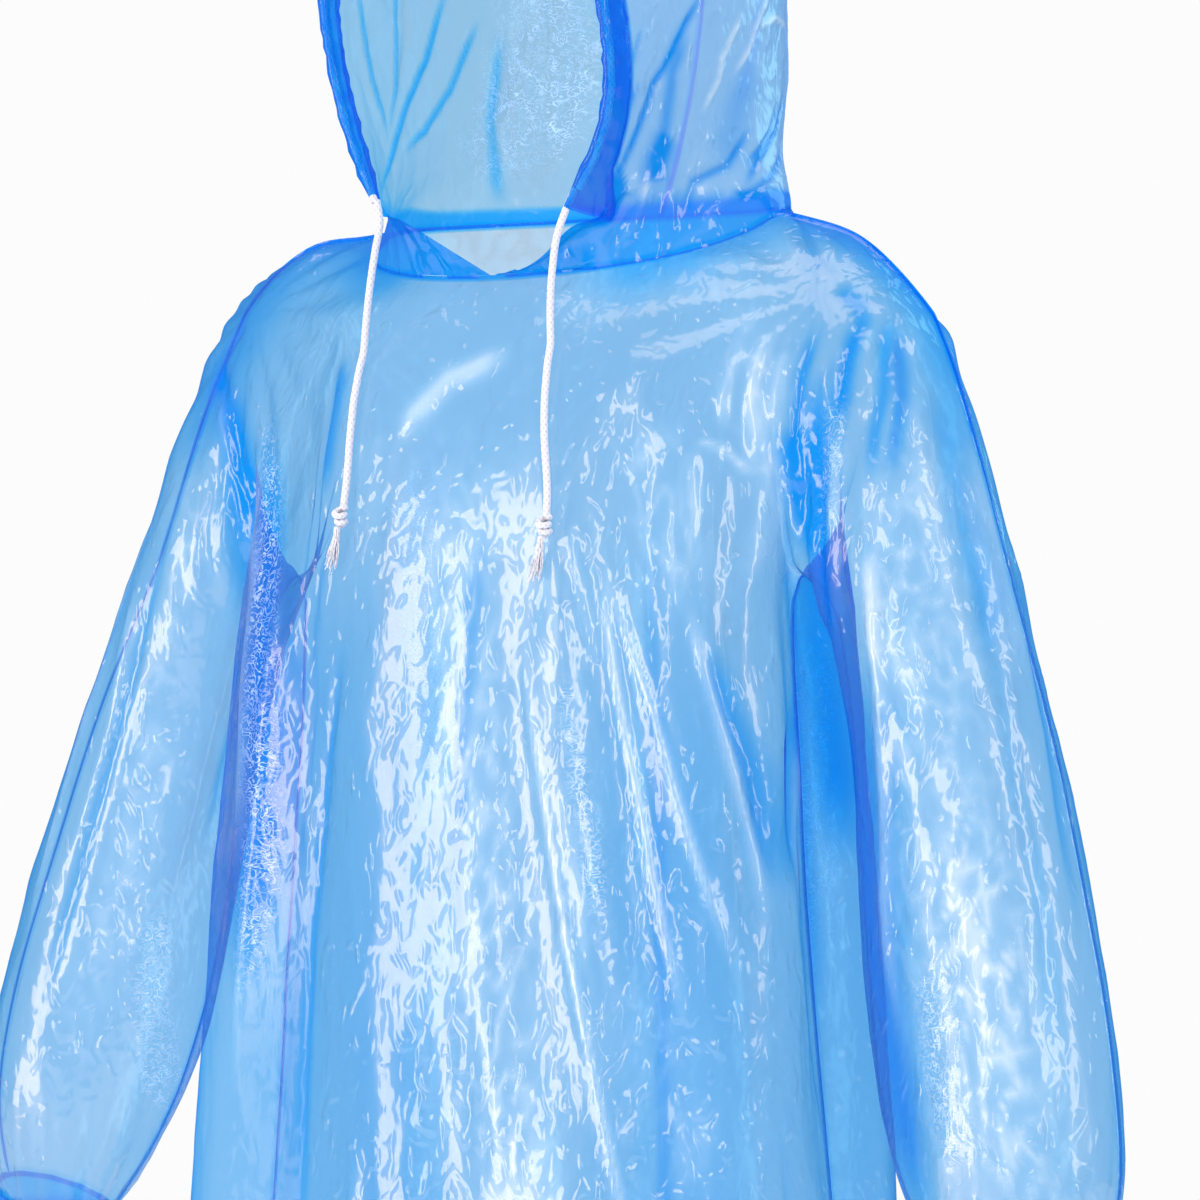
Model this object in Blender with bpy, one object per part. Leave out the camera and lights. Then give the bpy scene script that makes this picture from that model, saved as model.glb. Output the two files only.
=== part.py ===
"""A hooded rain poncho of thin blue film, hollow as it is worn: front and back panels with the sleeves cut
in one, a two-piece hood with a drawstring casing, elasticated cuffs and a drawstring.

Lengths are in metres. The front faces -Y, +Z is up, and the origin is the middle of the neck's base, where
the wearer's shoulders carry the film.
"""

import math

import bpy
import numpy as np
from mathutils.bvhtree import BVHTree

# ---- Driving sizes -------------------------------------------------------------------------------------
WALL = 0.0012  # thickness of the film's wall
SEAM_GAP = 0.0003  # between two pieces at a weld
FRONT, BACK = -1, 1  # sign of Y on each panel

NECK_HALF_WIDTH = 0.163
NECK_HALF_DEPTH = 0.113
NECK_Y = 0.010
NECK_FRONT_Z = -0.047
NECK_BACK_Z = 0.012
NECK_SHARE = 0.5  # share of a panel's half width that ends at the neck

SHOULDER_MIDDLE = (0.232, 0.009, -0.023)
SHOULDER_TIP = (0.288, 0.004, -0.078)
RIGHT_SHOULDER_SHIFT = (-0.006, 0.0, 0.023)  # how much further out and up the film sits on the right one
UNDERARM_Z = -0.245
ARMHOLE_DEPTH = 0.086  # how far the armhole bulges to the front and to the back
LENS = 1.25  # a welded tube narrows to its welds: 1 is an ellipse, more is a lens

# Sections of the body. recess is how deep the side weld is drawn in between the front and back lobes.
BODY_COLUMNS = ("z", "half_width", "front", "back", "centre_y", "recess")
BODY_SECTIONS = (
    (UNDERARM_Z, 0.232, 0.132, 0.130, -0.040, 0.028),
    (-0.340, 0.244, 0.138, 0.134, -0.042, 0.036),
    (-0.440, 0.256, 0.144, 0.138, -0.042, 0.042),
    (-0.640, 0.271, 0.152, 0.145, -0.042, 0.042),
    (-0.860, 0.283, 0.160, 0.152, -0.040, 0.034),
    (-1.080, 0.297, 0.168, 0.160, -0.038, 0.026),
)
BODY_SQUARENESS = 2.45
RECESS_SPREAD = math.radians(21)

# Sections of a sleeve, from the armhole to the cuff: where its outer and inner welds run, and how far the
# film between them bulges to the front and to the back.
SLEEVE_COLUMNS = ("outer_x", "outer_y", "outer_z", "inner_x", "inner_y", "inner_z", "depth")
SLEEVE_SECTIONS = (
    (0.319, -0.006, -0.140, 0.231, -0.036, -0.263, 0.080),
    (0.346, -0.018, -0.218, 0.246, -0.039, -0.320, 0.074),
    (0.386, -0.036, -0.325, 0.258, -0.045, -0.398, 0.070),
    (0.419, -0.050, -0.425, 0.268, -0.054, -0.485, 0.071),
    (0.445, -0.064, -0.525, 0.282, -0.065, -0.577, 0.072),
    (0.464, -0.076, -0.615, 0.306, -0.076, -0.655, 0.069),
    (0.464, -0.081, -0.672, 0.338, -0.081, -0.706, 0.058),
    (0.452, -0.083, -0.703, 0.360, -0.083, -0.733, 0.044),
)
CUFF_AXIS = (0.12, -0.04, -0.99)

# The cuff, from its weld with the sleeve: distance along its axis, size against the sleeve's end, and the
# height of the frill's waves.
CUFF_COLUMNS = ("along", "size", "wave")
CUFF_SECTIONS = (
    (0.0000, 1.00, 0.0010),
    (0.0070, 0.94, 0.0008),
    (0.0140, 0.95, 0.0010),
    (0.0230, 1.04, 0.0026),
    (0.0340, 1.10, 0.0044),
)
CUFF_WAVES = 13

# Edge of the face opening, from where the casing ends and the drawstring comes out, up to the crown
RIM_COLUMNS = ("half_width", "y", "z")
RIM_SECTIONS = (
    (0.0825, -0.131, 0.0106),
    (0.0975, -0.128, 0.0360),
    (0.1095, -0.130, 0.0700),
    (0.1135, -0.139, 0.1050),
    (0.1130, -0.149, 0.1450),
    (0.1080, -0.153, 0.2000),
    (0.0950, -0.153, 0.2500),
    (0.0740, -0.149, 0.2900),
    (0.0420, -0.142, 0.3220),
    (0.0000, -0.136, 0.3340),
)
WIDEST = 0.1135
NOTCH = (0.0016, -0.1005, -0.0450)
EXIT_SHARE = 0.2  # share of the hood's height that lies below the drawstring's exits

# The weld up the back of the hood, from the neck to the crown
HOOD_BACK_SHARES = (0.0, 0.18, 0.40, 0.72, 1.0)
HOOD_BACK_YZ = (
    (0.123, 0.012),
    (0.150, 0.066),
    (0.176, 0.146),
    (0.180, 0.258),
    (0.138, 0.334),
)

CASING_WIDTH = 0.0246
CASING_THICKNESS = 0.0094
CASING_SIDES = 14
CORD_DIAMETER = 0.0052
CORD_INSET = 0.0065  # from the rim's edge to the cord's middle

# Free ends of the drawstring, from just below the casing to the knot, as x, y and z. Where the front panel
# is in the way they lie on it.
CORD_LEFT = (
    (0.0750, -0.1280, -0.0075),
    (0.0712, -0.1315, -0.0230),
    (0.0690, -0.1335, -0.0440),
    (0.0688, -0.1360, -0.0680),
    (0.0712, -0.1390, -0.0960),
    (0.0760, -0.1420, -0.1300),
    (0.0815, -0.1420, -0.1660),
    (0.0862, -0.1420, -0.1980),
    (0.0868, -0.1420, -0.2140),
)
CORD_RIGHT = (
    (-0.0775, -0.1280, -0.0070),
    (-0.0785, -0.1315, -0.0230),
    (-0.0812, -0.1335, -0.0450),
    (-0.0830, -0.1360, -0.0700),
    (-0.0835, -0.1390, -0.0980),
    (-0.0815, -0.1420, -0.1290),
    (-0.0792, -0.1420, -0.1600),
    (-0.0785, -0.1420, -0.1900),
    (-0.0796, -0.1420, -0.2060),
)
KNOT_LENGTH = 0.0125
KNOT_RADIUS = 0.0052
TAIL_LENGTH = 0.0290
TAIL_TIP_RADIUS = 0.0046
TAIL_FLARE = (0, 0.08, 0.22, 0.5, 0.92, 0.8)  # share of the way to the tip's radius

# Folds that can be seen from across a room. Each is a soft ridge (height above 0) or trough along a line
# on its panel, from one x and z to another.
FOLD_COLUMNS = ("side", "x0", "z0", "x1", "z1", "width", "height")
FOLDS = (
    (FRONT, 0.020, -0.235, 0.066, -0.700, 0.022, 0.007),
    (FRONT, 0.046, -0.230, 0.118, -0.660, 0.020, -0.006),
    (FRONT, 0.086, -0.240, 0.160, -0.660, 0.022, 0.008),
    (FRONT, 0.126, -0.300, 0.200, -0.680, 0.022, -0.009),
    (FRONT, 0.168, -0.280, 0.226, -0.760, 0.022, 0.007),
    (FRONT, -0.040, -0.250, -0.010, -1.080, 0.034, 0.008),
    (FRONT, 0.028, -0.560, 0.070, -1.080, 0.026, -0.009),
    (FRONT, 0.105, -0.560, 0.150, -1.080, 0.028, 0.010),
    (FRONT, -0.100, -0.300, -0.128, -1.080, 0.026, -0.009),
    (FRONT, -0.150, -0.230, -0.190, -0.900, 0.024, 0.009),
    (FRONT, 0.118, -0.070, 0.170, -0.250, 0.018, 0.006),
    (FRONT, -0.118, -0.075, -0.176, -0.260, 0.020, -0.006),
    (FRONT, 0.300, -0.250, 0.410, -0.640, 0.018, 0.007),
    (FRONT, 0.280, -0.330, 0.350, -0.660, 0.018, -0.008),
    (FRONT, -0.310, -0.250, -0.420, -0.640, 0.020, 0.007),
    (FRONT, -0.285, -0.330, -0.355, -0.660, 0.018, -0.008),
    (BACK, 0.000, -0.140, 0.020, -1.080, 0.036, -0.009),
    (BACK, 0.070, -0.160, 0.100, -1.080, 0.030, 0.010),
    (BACK, -0.075, -0.150, -0.110, -1.080, 0.032, 0.010),
    (BACK, 0.130, -0.300, 0.170, -0.900, 0.024, -0.009),
    (BACK, -0.140, -0.260, -0.165, -0.960, 0.024, -0.010),
    (BACK, 0.190, -0.240, 0.214, -0.800, 0.022, 0.008),
    (BACK, -0.185, -0.250, -0.218, -0.760, 0.022, 0.008),
    (BACK, 0.320, -0.220, 0.420, -0.620, 0.020, 0.007),
    (BACK, -0.300, -0.220, -0.400, -0.640, 0.020, -0.007),
)
# The crease where a hanging sleeve meets the body: side, columns in from the armhole, width in columns,
# and height on the wearer's right and left.
ARMHOLE_CREASES = ((FRONT, 0.4, 1.7, -0.013, -0.016), (BACK, 0.6, 1.8, -0.014, -0.012))
HEM_WAVES = ((5, 0.4, 0.0060), (8, 1.9, 0.0050), (13, 0.9, 0.0030))  # count, phase, height
HEM_WAVE_START = -0.50

# Mesh divisions
BODY_DIVISIONS = 16  # over half a panel's width
YOKE_DIVISIONS = 8  # from the shoulder weld to the underarm, and half round a sleeve
SKIRT_DIVISIONS = 14  # from the underarm to the hem
SLEEVE_DIVISIONS = 13  # from the armhole to the cuff
HOOD_ROWS_BELOW, HOOD_ROWS_ABOVE = 4, 16  # below and above the drawstring's exits
HOOD_DIVISIONS = 14  # from the rim to the back
CUFF_DIVISIONS = 52


# ---- Helpers -------------------------------------------------------------------------------------------
def smoothstep(low, high, value):
    share = np.clip((value - low) / (high - low), 0.0, 1.0)
    return share * share * (3.0 - 2.0 * share)


def hermite(start, end, leave, arrive, share):
    """Cubic curve from start to end that leaves and arrives with the given tangents."""
    squared, cubed = share**2, share**3
    return (
        (2 * cubed - 3 * squared + 1) * start
        + (cubed - 2 * squared + share) * leave
        + (3 * squared - 2 * cubed) * end
        + (cubed - squared) * arrive
    )


def spline(knots, values, at):
    """Smooth curve through the values at the knots, read at each place in at."""
    knots, values, at = (np.asarray(x, float) for x in (knots, values, at))
    slopes = np.gradient(values, knots, axis=0)
    cell = np.clip(np.searchsorted(knots, at) - 1, 0, len(knots) - 2)
    width = knots[cell + 1] - knots[cell]
    share = np.clip((at - knots[cell]) / width, 0.0, 1.0)
    extra = (None,) * (values.ndim - 1)
    share, width = share[(..., *extra)], width[(..., *extra)]
    leave, arrive = slopes[cell] * width, slopes[cell + 1] * width
    return hermite(values[cell], values[cell + 1], leave, arrive, share)


def columns_of(table, names):
    return dict(zip(names, np.array(table, float).T))


def unit(vectors):
    return vectors / np.linalg.norm(vectors, axis=-1, keepdims=True)


# ---- Body and sleeves ----------------------------------------------------------------------------------
def body_point(turn, z, side):
    """A point of the body's section at height z. turn goes from 0, mid front or back, to a right angle."""
    table = columns_of(BODY_SECTIONS, BODY_COLUMNS)
    levels = table.pop("z")
    size = {
        name: spline(-levels, column, -np.asarray(z, float))
        for name, column in table.items()
    }
    depth = size["front"] if side == FRONT else size["back"]
    reach = (
        np.abs(np.sin(turn)) ** BODY_SQUARENESS
        + np.abs(np.cos(turn)) ** BODY_SQUARENESS
    ) ** (-1 / BODY_SQUARENESS)
    drawn_in = size["recess"] * np.exp(-(((turn - math.pi / 2) / RECESS_SPREAD) ** 2))
    x = size["half_width"] * reach * np.sin(turn) - drawn_in * np.sin(turn)
    y = size["centre_y"] + side * depth * reach * np.cos(turn)
    return np.stack(np.broadcast_arrays(x, y, z), axis=-1)


def neck_point(turn, side):
    """A point of the neck weld. turn goes from 0, mid front or back, to a right angle at the shoulder."""
    middle_z = NECK_FRONT_Z if side == FRONT else NECK_BACK_Z
    return np.stack(
        [
            NECK_HALF_WIDTH * np.sin(turn),
            NECK_Y + side * NECK_HALF_DEPTH * np.cos(turn),
            middle_z * np.abs(np.cos(turn)) ** 0.8,
        ],
        axis=-1,
    )


def top_edge(across, side):
    """The panel's top edge and the way the film leaves it: the neck, then the shoulder weld."""
    turn = np.clip(across / NECK_SHARE, 0, 1) * math.pi / 2
    along = np.clip((across - NECK_SHARE) / (1 - NECK_SHARE), 0, 1)
    neck, shoulder = neck_point(turn, side), outer_weld(along)
    edge = np.where((across <= NECK_SHARE)[..., None], neck, shoulder)
    sine, cosine = np.sin(turn), np.abs(np.cos(turn))
    leave = np.stack(
        [
            0.10 * sine * cosine + 0.05 * along,
            side * (0.08 * cosine + 0.26 * sine),
            -0.16 * cosine - 0.06 * sine * (1 - along),
        ],
        axis=-1,
    )
    return edge, leave


def outer_weld(place):
    """The weld over the shoulder and down the sleeve: 0 at the neck, 1 at the armhole, 2 at the cuff."""
    table = columns_of(SLEEVE_SECTIONS, SLEEVE_COLUMNS)
    sleeve = np.stack([table["outer_x"], table["outer_y"], table["outer_z"]], axis=-1)
    corner = neck_point(np.array(math.pi / 2), FRONT)
    points = np.vstack([corner, SHOULDER_MIDDLE, SHOULDER_TIP, sleeve])
    knots = np.append(0, np.cumsum(np.linalg.norm(np.diff(points, axis=0), axis=1)))
    return spline(knots, points, np.interp(place, (0, 1, 2), knots[[0, 2, -1]]))


def sleeve_section(along):
    """Outer weld, inner weld and depth of a sleeve, for along from 0 at the armhole to 1 at the cuff."""
    table = columns_of(SLEEVE_SECTIONS, SLEEVE_COLUMNS)
    underarm = body_point(math.pi / 2, UNDERARM_Z, FRONT)
    inner = np.stack([table["inner_x"], table["inner_y"], table["inner_z"]], axis=-1)
    outer = np.stack([table["outer_x"], table["outer_y"], table["outer_z"]], axis=-1)
    steps = np.linalg.norm(np.diff(np.vstack([SHOULDER_TIP, outer]), axis=0), axis=1)
    knots = np.append(0, np.cumsum(steps)) / steps.sum()
    return (
        outer_weld(1 + along),
        spline(knots, np.vstack([underarm, inner]), along),
        spline(knots, np.append(ARMHOLE_DEPTH, table["depth"]), along),
    )


def sleeve_point(along, round_share, side):
    """A point of a sleeve. round_share goes from 0 on the outer weld to 1 on the inner one."""
    outer, inner, depth = sleeve_section(along)
    angle = math.pi * np.asarray(round_share, float)
    middle, half = (outer + inner) / 2, (outer - inner) / 2
    point = middle + half * np.cos(angle)[..., None]
    lens = 1 + (LENS - 1) * smoothstep(0.3, 1.0, round_share)
    point[..., 1] += side * depth * np.abs(np.sin(angle)) ** lens
    return point


def yoke_point(across, down, side):
    """A point between the top edge (down 0) and the underarm level (down 1)."""
    top, leave = top_edge(across, side)
    turn = across * math.pi / 2
    bottom = body_point(turn, np.full_like(across, UNDERARM_Z), side)
    below = body_point(turn, np.full_like(across, UNDERARM_Z - 0.02), side)
    arrive = (below - bottom) / 0.02 * 0.24
    fall = hermite(top, bottom, leave, arrive, down[..., None])
    armhole = sleeve_point(np.zeros_like(across), down, side)
    near_armhole = smoothstep(0.72, 1.0, across)[..., None]
    return fall * (1 - near_armhole) + armhole * near_armhole


def half_panel(side):
    """Grid of points over half a panel, at x above 0: rows go down, columns go out. Cells that the T-shape
    leaves empty hold NaN."""
    rows = YOKE_DIVISIONS + SKIRT_DIVISIONS + 1
    grid = np.full((rows, BODY_DIVISIONS + SLEEVE_DIVISIONS + 1, 3), np.nan)
    across = np.linspace(0, 1, BODY_DIVISIONS + 1)
    down = np.linspace(0, 1, YOKE_DIVISIONS + 1)
    levels = np.linspace(UNDERARM_Z, BODY_SECTIONS[-1][0], SKIRT_DIVISIONS + 1)
    along = np.linspace(0, 1, SLEEVE_DIVISIONS + 1)
    yoke, skirt = slice(0, YOKE_DIVISIONS + 1), slice(YOKE_DIVISIONS, None)
    body, sleeve = slice(0, BODY_DIVISIONS + 1), slice(BODY_DIVISIONS, None)
    grid[yoke, body] = yoke_point(*np.meshgrid(across, down), side)
    turn, level = np.meshgrid(across * math.pi / 2, levels)
    grid[skirt, body] = body_point(turn, level, side)
    grid[yoke, sleeve] = sleeve_point(*np.meshgrid(along, down), side)
    off_welds = np.sin(math.pi * down)
    soften(grid[yoke], BODY_DIVISIONS * NECK_SHARE, 3.0, np.sqrt(off_welds), 12)
    soften(grid[yoke], BODY_DIVISIONS, 4.0, off_welds, 6)
    return grid


def soften(rows, column, reach, shares, rounds):
    """Rounds the rows of a grid near one column, each by its share."""
    places = np.arange(rows.shape[1])[1:-1] - column
    pull = 0.6 * shares[:, None, None] * np.exp(-((places / reach) ** 2))[:, None]
    for _ in range(rounds):
        mean = (rows[:, :-2] + rows[:, 2:]) / 2
        rows[:, 1:-1] += (mean - rows[:, 1:-1]) * pull


def full_panel(side):
    """Both halves of a panel in one grid, from the -X cuff to the +X cuff."""
    half = half_panel(side)
    return np.concatenate([on_right_shoulder(mirrored(half[:, :0:-1])), half], axis=1)


def on_right_shoulder(points):
    """Moves the -X half of a panel to where the film sits on the wearer's right shoulder."""
    out = smoothstep(0.160, 0.275, -points[..., 0])
    up = smoothstep(-0.26, -0.04, points[..., 2])
    return points + (out * up)[..., None] * np.array(RIGHT_SHOULDER_SHIFT)


def mirrored(points):
    return points * np.array([-1, 1, 1])


def distance_from_welds(rows, columns):
    """For each point of a full panel, 0 on a weld or free edge at the top, rising to 1 inside."""
    row = np.arange(rows)[:, None]
    column = np.abs(np.arange(columns) - (columns - 1) // 2)[None, :]
    yoke = np.sin(math.pi * np.clip(row / YOKE_DIVISIONS, 0, 1)) ** 0.7
    to_side = smoothstep(0, 3, BODY_DIVISIONS - column)
    past = np.clip(row / YOKE_DIVISIONS, 0, 1)
    body = np.where(row <= YOKE_DIVISIONS, np.minimum(1, 2 * past), 1.0)
    body = body * np.where(row < YOKE_DIVISIONS, 1.0, to_side)
    blend = smoothstep(BODY_DIVISIONS - 4, BODY_DIVISIONS, column)
    return np.where(row <= YOKE_DIVISIONS, body * (1 - blend) + yoke * blend, body)


def fold_heights(points, side):
    """How far the folds lift each point of a panel off its smooth shape."""
    x, z = points[..., 0], points[..., 2]
    height = np.zeros(x.shape)
    for row in FOLDS:
        fold = dict(zip(FOLD_COLUMNS, row))
        if fold["side"] != side:
            continue
        run, drop = fold["x1"] - fold["x0"], fold["z1"] - fold["z0"]
        length = math.hypot(run, drop)
        along = ((x - fold["x0"]) * run + (z - fold["z0"]) * drop) / length**2
        off = ((x - fold["x0"]) * drop - (z - fold["z0"]) * run) / length
        reach = fold["width"] * (0.7 + 0.6 * np.clip(along, 0, 1))
        open_end = fold["z1"] <= BODY_SECTIONS[-1][0]
        fade = smoothstep(-0.08, 0.18, along)
        fade = fade if open_end else fade * (1 - smoothstep(0.82, 1.08, along))
        height += fold["height"] * fade * np.exp(-((off / reach) ** 2))
    return height


def armhole_heights(rows, columns, side):
    """The creases that run down to the underarms."""
    middle = (columns - 1) // 2
    place = np.arange(columns) - middle
    down = np.arange(rows) / YOKE_DIVISIONS
    fade = smoothstep(0.15, 0.50, down) * (1 - smoothstep(0.55, 0.88, down))
    height = np.zeros((rows, columns))
    for crease_side, inward, width, right, left in ARMHOLE_CREASES:
        if crease_side != side:
            continue
        off = (np.abs(place) - BODY_DIVISIONS + inward) / width
        deep = np.where(place < 0, right, left)
        height += fade[:, None] * deep * np.exp(-(off**2))
    return height


def hem_heights(rows, columns, side, z):
    """Waves that grow down to the hem and run on round the side welds."""
    middle = (columns - 1) // 2
    turn = (np.arange(columns) - middle) / BODY_DIVISIONS * math.pi / 2
    angle = turn if side == FRONT else math.pi - turn
    wave = sum(
        height * np.sin(count * angle + phase) for count, phase, height in HEM_WAVES
    )
    return wave[None, :] * smoothstep(-HEM_WAVE_START, 1.08, -z)


def quads_of(grid, flip=False):
    """Corner numbers of each cell of a grid whose four corners exist."""
    rows, columns = grid.shape[:2]
    number = np.arange(rows * columns).reshape(rows, columns)
    corners = [number[:-1, :-1], number[1:, :-1], number[1:, 1:], number[:-1, 1:]]
    corners = np.stack(corners, axis=-1).reshape(-1, 4)
    there = ~np.isnan(grid.reshape(-1, 3)[:, 0])
    corners = corners[there[corners].all(axis=1)]
    return corners[:, ::-1] if flip else corners


def shared_normals(surfaces):
    """Outward normal at each point of several surfaces, averaged where their points coincide."""
    points = np.concatenate([p for p, _ in surfaces])
    keys = np.round(np.nan_to_num(points, nan=9.0) * 1e5).astype(np.int64)
    _, key = np.unique(keys, axis=0, return_inverse=True)
    key = key.reshape(-1)
    total = np.zeros((key.max() + 1, 3))
    start = 0
    for p, quads in surfaces:
        a, b, c, d = (p[quads[:, i]] for i in range(4))
        area = np.cross(c - a, d - b)
        for corner in quads.T:
            np.add.at(total, key[start + corner], area)
        start += len(p)
    length = np.linalg.norm(total, axis=1, keepdims=True)
    normal = total / np.where(length > 0, length, 1)
    split = np.cumsum([len(p) for p, _ in surfaces])[:-1]
    return np.split(normal[key], split)


# ---- Hood ----------------------------------------------------------------------------------------------
def rim_point(share):
    """A point of the face opening's edge, on the wearer's left: 0 at the drawstring, 1 at the crown."""
    table = columns_of(RIM_SECTIONS, RIM_COLUMNS)
    points = np.stack([table["half_width"], table["y"], table["z"]], axis=-1)
    points = np.vstack([points, mirrored(points[-2])])
    knots = np.append(0, np.cumsum(np.linalg.norm(np.diff(points, axis=0), axis=1)))
    return spline(knots, points, np.asarray(share) * knots[-2])


def rib_ends(share):
    """Both ends of the hood's ribs and the ways they leave and arrive, for shares of its height."""
    share = np.asarray(share, float)
    rim = rim_point(np.clip((share - EXIT_SHARE) / (1 - EXIT_SHARE), 0, 1))
    notch = np.array(NOTCH)
    below = np.clip(share / EXIT_SHARE, 0, 1)[..., None]
    lower = notch + (rim_point(0.0) - notch) * below
    front = np.where((share < EXIT_SHARE)[..., None], lower, rim)
    back_yz = spline(HOOD_BACK_SHARES, HOOD_BACK_YZ, share)
    back = np.concatenate([np.zeros_like(back_yz[..., :1]), back_yz], axis=-1)
    wide = np.where(rim[..., 2] < 0.13, 1.0, np.clip(rim[..., 0] / WIDEST, 0, 1))
    flat = 1 - wide**2
    leave = np.stack([0.06 * wide, np.full_like(wide, 0.30), 0.10 * flat], axis=-1)
    arrive = np.stack([-0.55 * wide, 0.06 - 0.02 * flat, -0.16 * flat], axis=-1)
    like_neck = 1 - smoothstep(-0.05, 0.42, share)[..., None]
    outwards = 4 * (NECK_HALF_WIDTH - front[..., 0])
    round_neck = np.stack([outwards, 1.6 * front[..., 0], 0 * outwards], axis=-1)
    leave += (round_neck - leave) * like_neck
    arrive += (np.array([-4 * NECK_HALF_WIDTH, 0, 0]) - arrive) * like_neck
    return front, back, leave, arrive


def hood_point(share, round_share):
    """A point of the hood's left half: share of its height, and of the way from the rim to the back."""
    front, back, leave, arrive = rib_ends(share)
    rib = hermite(front, back, leave, arrive, round_share[..., None])
    low_front, low_back, low_leave, low_arrive = rib_ends(np.zeros_like(share))
    low = hermite(low_front, low_back, low_leave, low_arrive, round_share[..., None])
    turn = math.pi * round_share
    front_half = neck_point(turn, FRONT)
    back_half = neck_point(math.pi - turn, BACK)
    neck = np.where((turn <= math.pi / 2)[..., None], front_half, back_half)
    neck[..., 2] += 0.0023
    neck[..., 0] = np.maximum(neck[..., 0], NOTCH[0] * (turn < 0.5))
    near_neck = 1 - smoothstep(0, 0.42, share)[..., None]
    point = rib + (neck - low) * near_neck
    ridges = 0.0035 * np.sin(9 * round_share + 7 * share) * np.sin(math.pi * round_share)
    point[..., 0] += ridges * smoothstep(0.1, 0.3, share) * (1 - share)
    return point


def hood_inset(share):
    """How far behind the rim's edge the hood's film starts, as a distance."""
    below = 0.012 * np.clip(share / EXIT_SHARE, 0, 1) ** 1.5
    return np.where(share > EXIT_SHARE - 0.02, CASING_WIDTH + 0.0014, below)


def hood_half():
    below = np.linspace(0, EXIT_SHARE - 0.045, HOOD_ROWS_BELOW)
    above = np.linspace(EXIT_SHARE, 1, HOOD_ROWS_ABOVE + 1)
    share = np.concatenate([below, [EXIT_SHARE - 0.015], above])[:, None]
    probe = np.broadcast_to(np.linspace(0, 1, 201), (len(share), 201))
    ribs = hood_point(np.broadcast_to(share, probe.shape), probe)
    steps = np.linalg.norm(np.diff(ribs, axis=1), axis=2)
    length = np.concatenate([np.zeros((len(share), 1)), np.cumsum(steps, axis=1)], 1)
    inset = hood_inset(share[:, 0])
    even = np.linspace(0, 1, HOOD_DIVISIONS + 1)
    grid = np.empty((len(share), HOOD_DIVISIONS + 1, 3))
    for i in range(len(share)):
        wanted = inset[i] + (length[i, -1] - inset[i]) * even
        place = np.interp(wanted, length[i], probe[i])
        grid[i] = hood_point(np.full_like(place, share[i, 0]), place)
    edge, behind, _ = (part[: HOOD_ROWS_ABOVE + 1] for part in rim_frames())
    seam = edge + behind * (CASING_WIDTH + 0.0014)
    grid[HOOD_ROWS_BELOW + 1 :, 0] = seam
    grid[HOOD_ROWS_BELOW, 0] = seam[0] + unit(seam[0] - seam[1]) * 0.0045
    grid[:, -1, 0] = 0
    grid[-1, :, 0] = 0
    return grid


def rim_frames():
    """Middle line of the casing's surface, with its directions back along the hood and out of it."""
    along = np.linspace(0, 1, HOOD_ROWS_ABOVE + 1)
    share = EXIT_SHARE + (1 - EXIT_SHARE) * along
    edge = rim_point(along)
    behind = unit(hood_point(share, np.full_like(share, 0.06)) - edge)
    behind[-1, 0] = 0
    edge = np.concatenate([edge[:-1], mirrored(edge[::-1])])
    behind = unit(np.concatenate([behind[:-1], mirrored(behind[::-1])]))
    run = unit(np.gradient(edge, axis=0))
    out = unit(np.cross(behind, run))
    behind = unit(np.cross(run, out))
    return edge, behind, out


# ---- Turning surfaces into solids ----------------------------------------------------------------------
def material(name, colour, roughness, alpha=1.0):
    made = bpy.data.materials.new(name)
    made.use_nodes = True
    shader = made.node_tree.nodes["Principled BSDF"]
    shader.inputs["Base Color"].default_value = (*colour, 1)
    shader.inputs["Roughness"].default_value = roughness
    shader.inputs["Metallic"].default_value = 0.0
    shader.inputs["Alpha"].default_value = alpha
    return made


def add_mesh(name, points, faces, finish, collection):
    mesh = bpy.data.meshes.new(name)
    mesh.from_pydata([tuple(p) for p in points], [], [tuple(f) for f in faces])
    mesh.update()
    mesh.shade_smooth()
    mesh.set_sharp_from_angle(angle=math.radians(50))
    mesh.materials.append(finish)
    piece = bpy.data.objects.new(name, mesh)
    collection.objects.link(piece)
    return piece


def halved(quads, points):
    """Each cell as two triangles, cut along its shorter diagonal."""
    a, b, c, d = quads.T
    first = np.linalg.norm(points[a] - points[c], axis=1)
    second = np.linalg.norm(points[b] - points[d], axis=1)
    along_ac = (first <= second)[:, None]
    one = np.where(along_ac, np.stack([a, b, c], 1), np.stack([a, b, d], 1))
    two = np.where(along_ac, np.stack([a, c, d], 1), np.stack([b, c, d], 1))
    return np.concatenate([one, two])


def add_wall(name, outer, inner, quads, finish, collection):
    """A closed wall between an outer and an inner surface that share their cells, with its rims filled."""
    used = np.unique(quads)
    number = np.full(len(outer), -1)
    number[used] = np.arange(len(used))
    cells = number[halved(quads, outer)]
    count = len(used)
    edges = np.concatenate([cells[:, [i, (i + 1) % 3]] for i in range(3)])
    _, index, times = np.unique(
        np.sort(edges, axis=1), axis=0, return_inverse=True, return_counts=True
    )
    rim = edges[times[index.reshape(-1)] == 1]
    corners = [rim[:, 1], rim[:, 0], rim[:, 0] + count, rim[:, 1] + count]
    faces = [*cells, *(cells[:, ::-1] + count), *np.stack(corners, axis=-1)]
    points = np.concatenate([outer[used], inner[used]])
    return add_mesh(name, points, faces, finish, collection)


def add_cord(name, path, finish, collection):
    curve = bpy.data.curves.new(name, "CURVE")
    curve.dimensions = "3D"
    curve.bevel_depth = CORD_DIAMETER / 2
    curve.bevel_resolution = 2
    curve.use_fill_caps = True
    line = curve.splines.new("POLY")
    line.points.add(len(path) - 1)
    for point, place in zip(line.points, path):
        point.co = (*place, 1)
    curve.materials.append(finish)
    piece = bpy.data.objects.new(name, curve)
    collection.objects.link(piece)
    return piece


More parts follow.
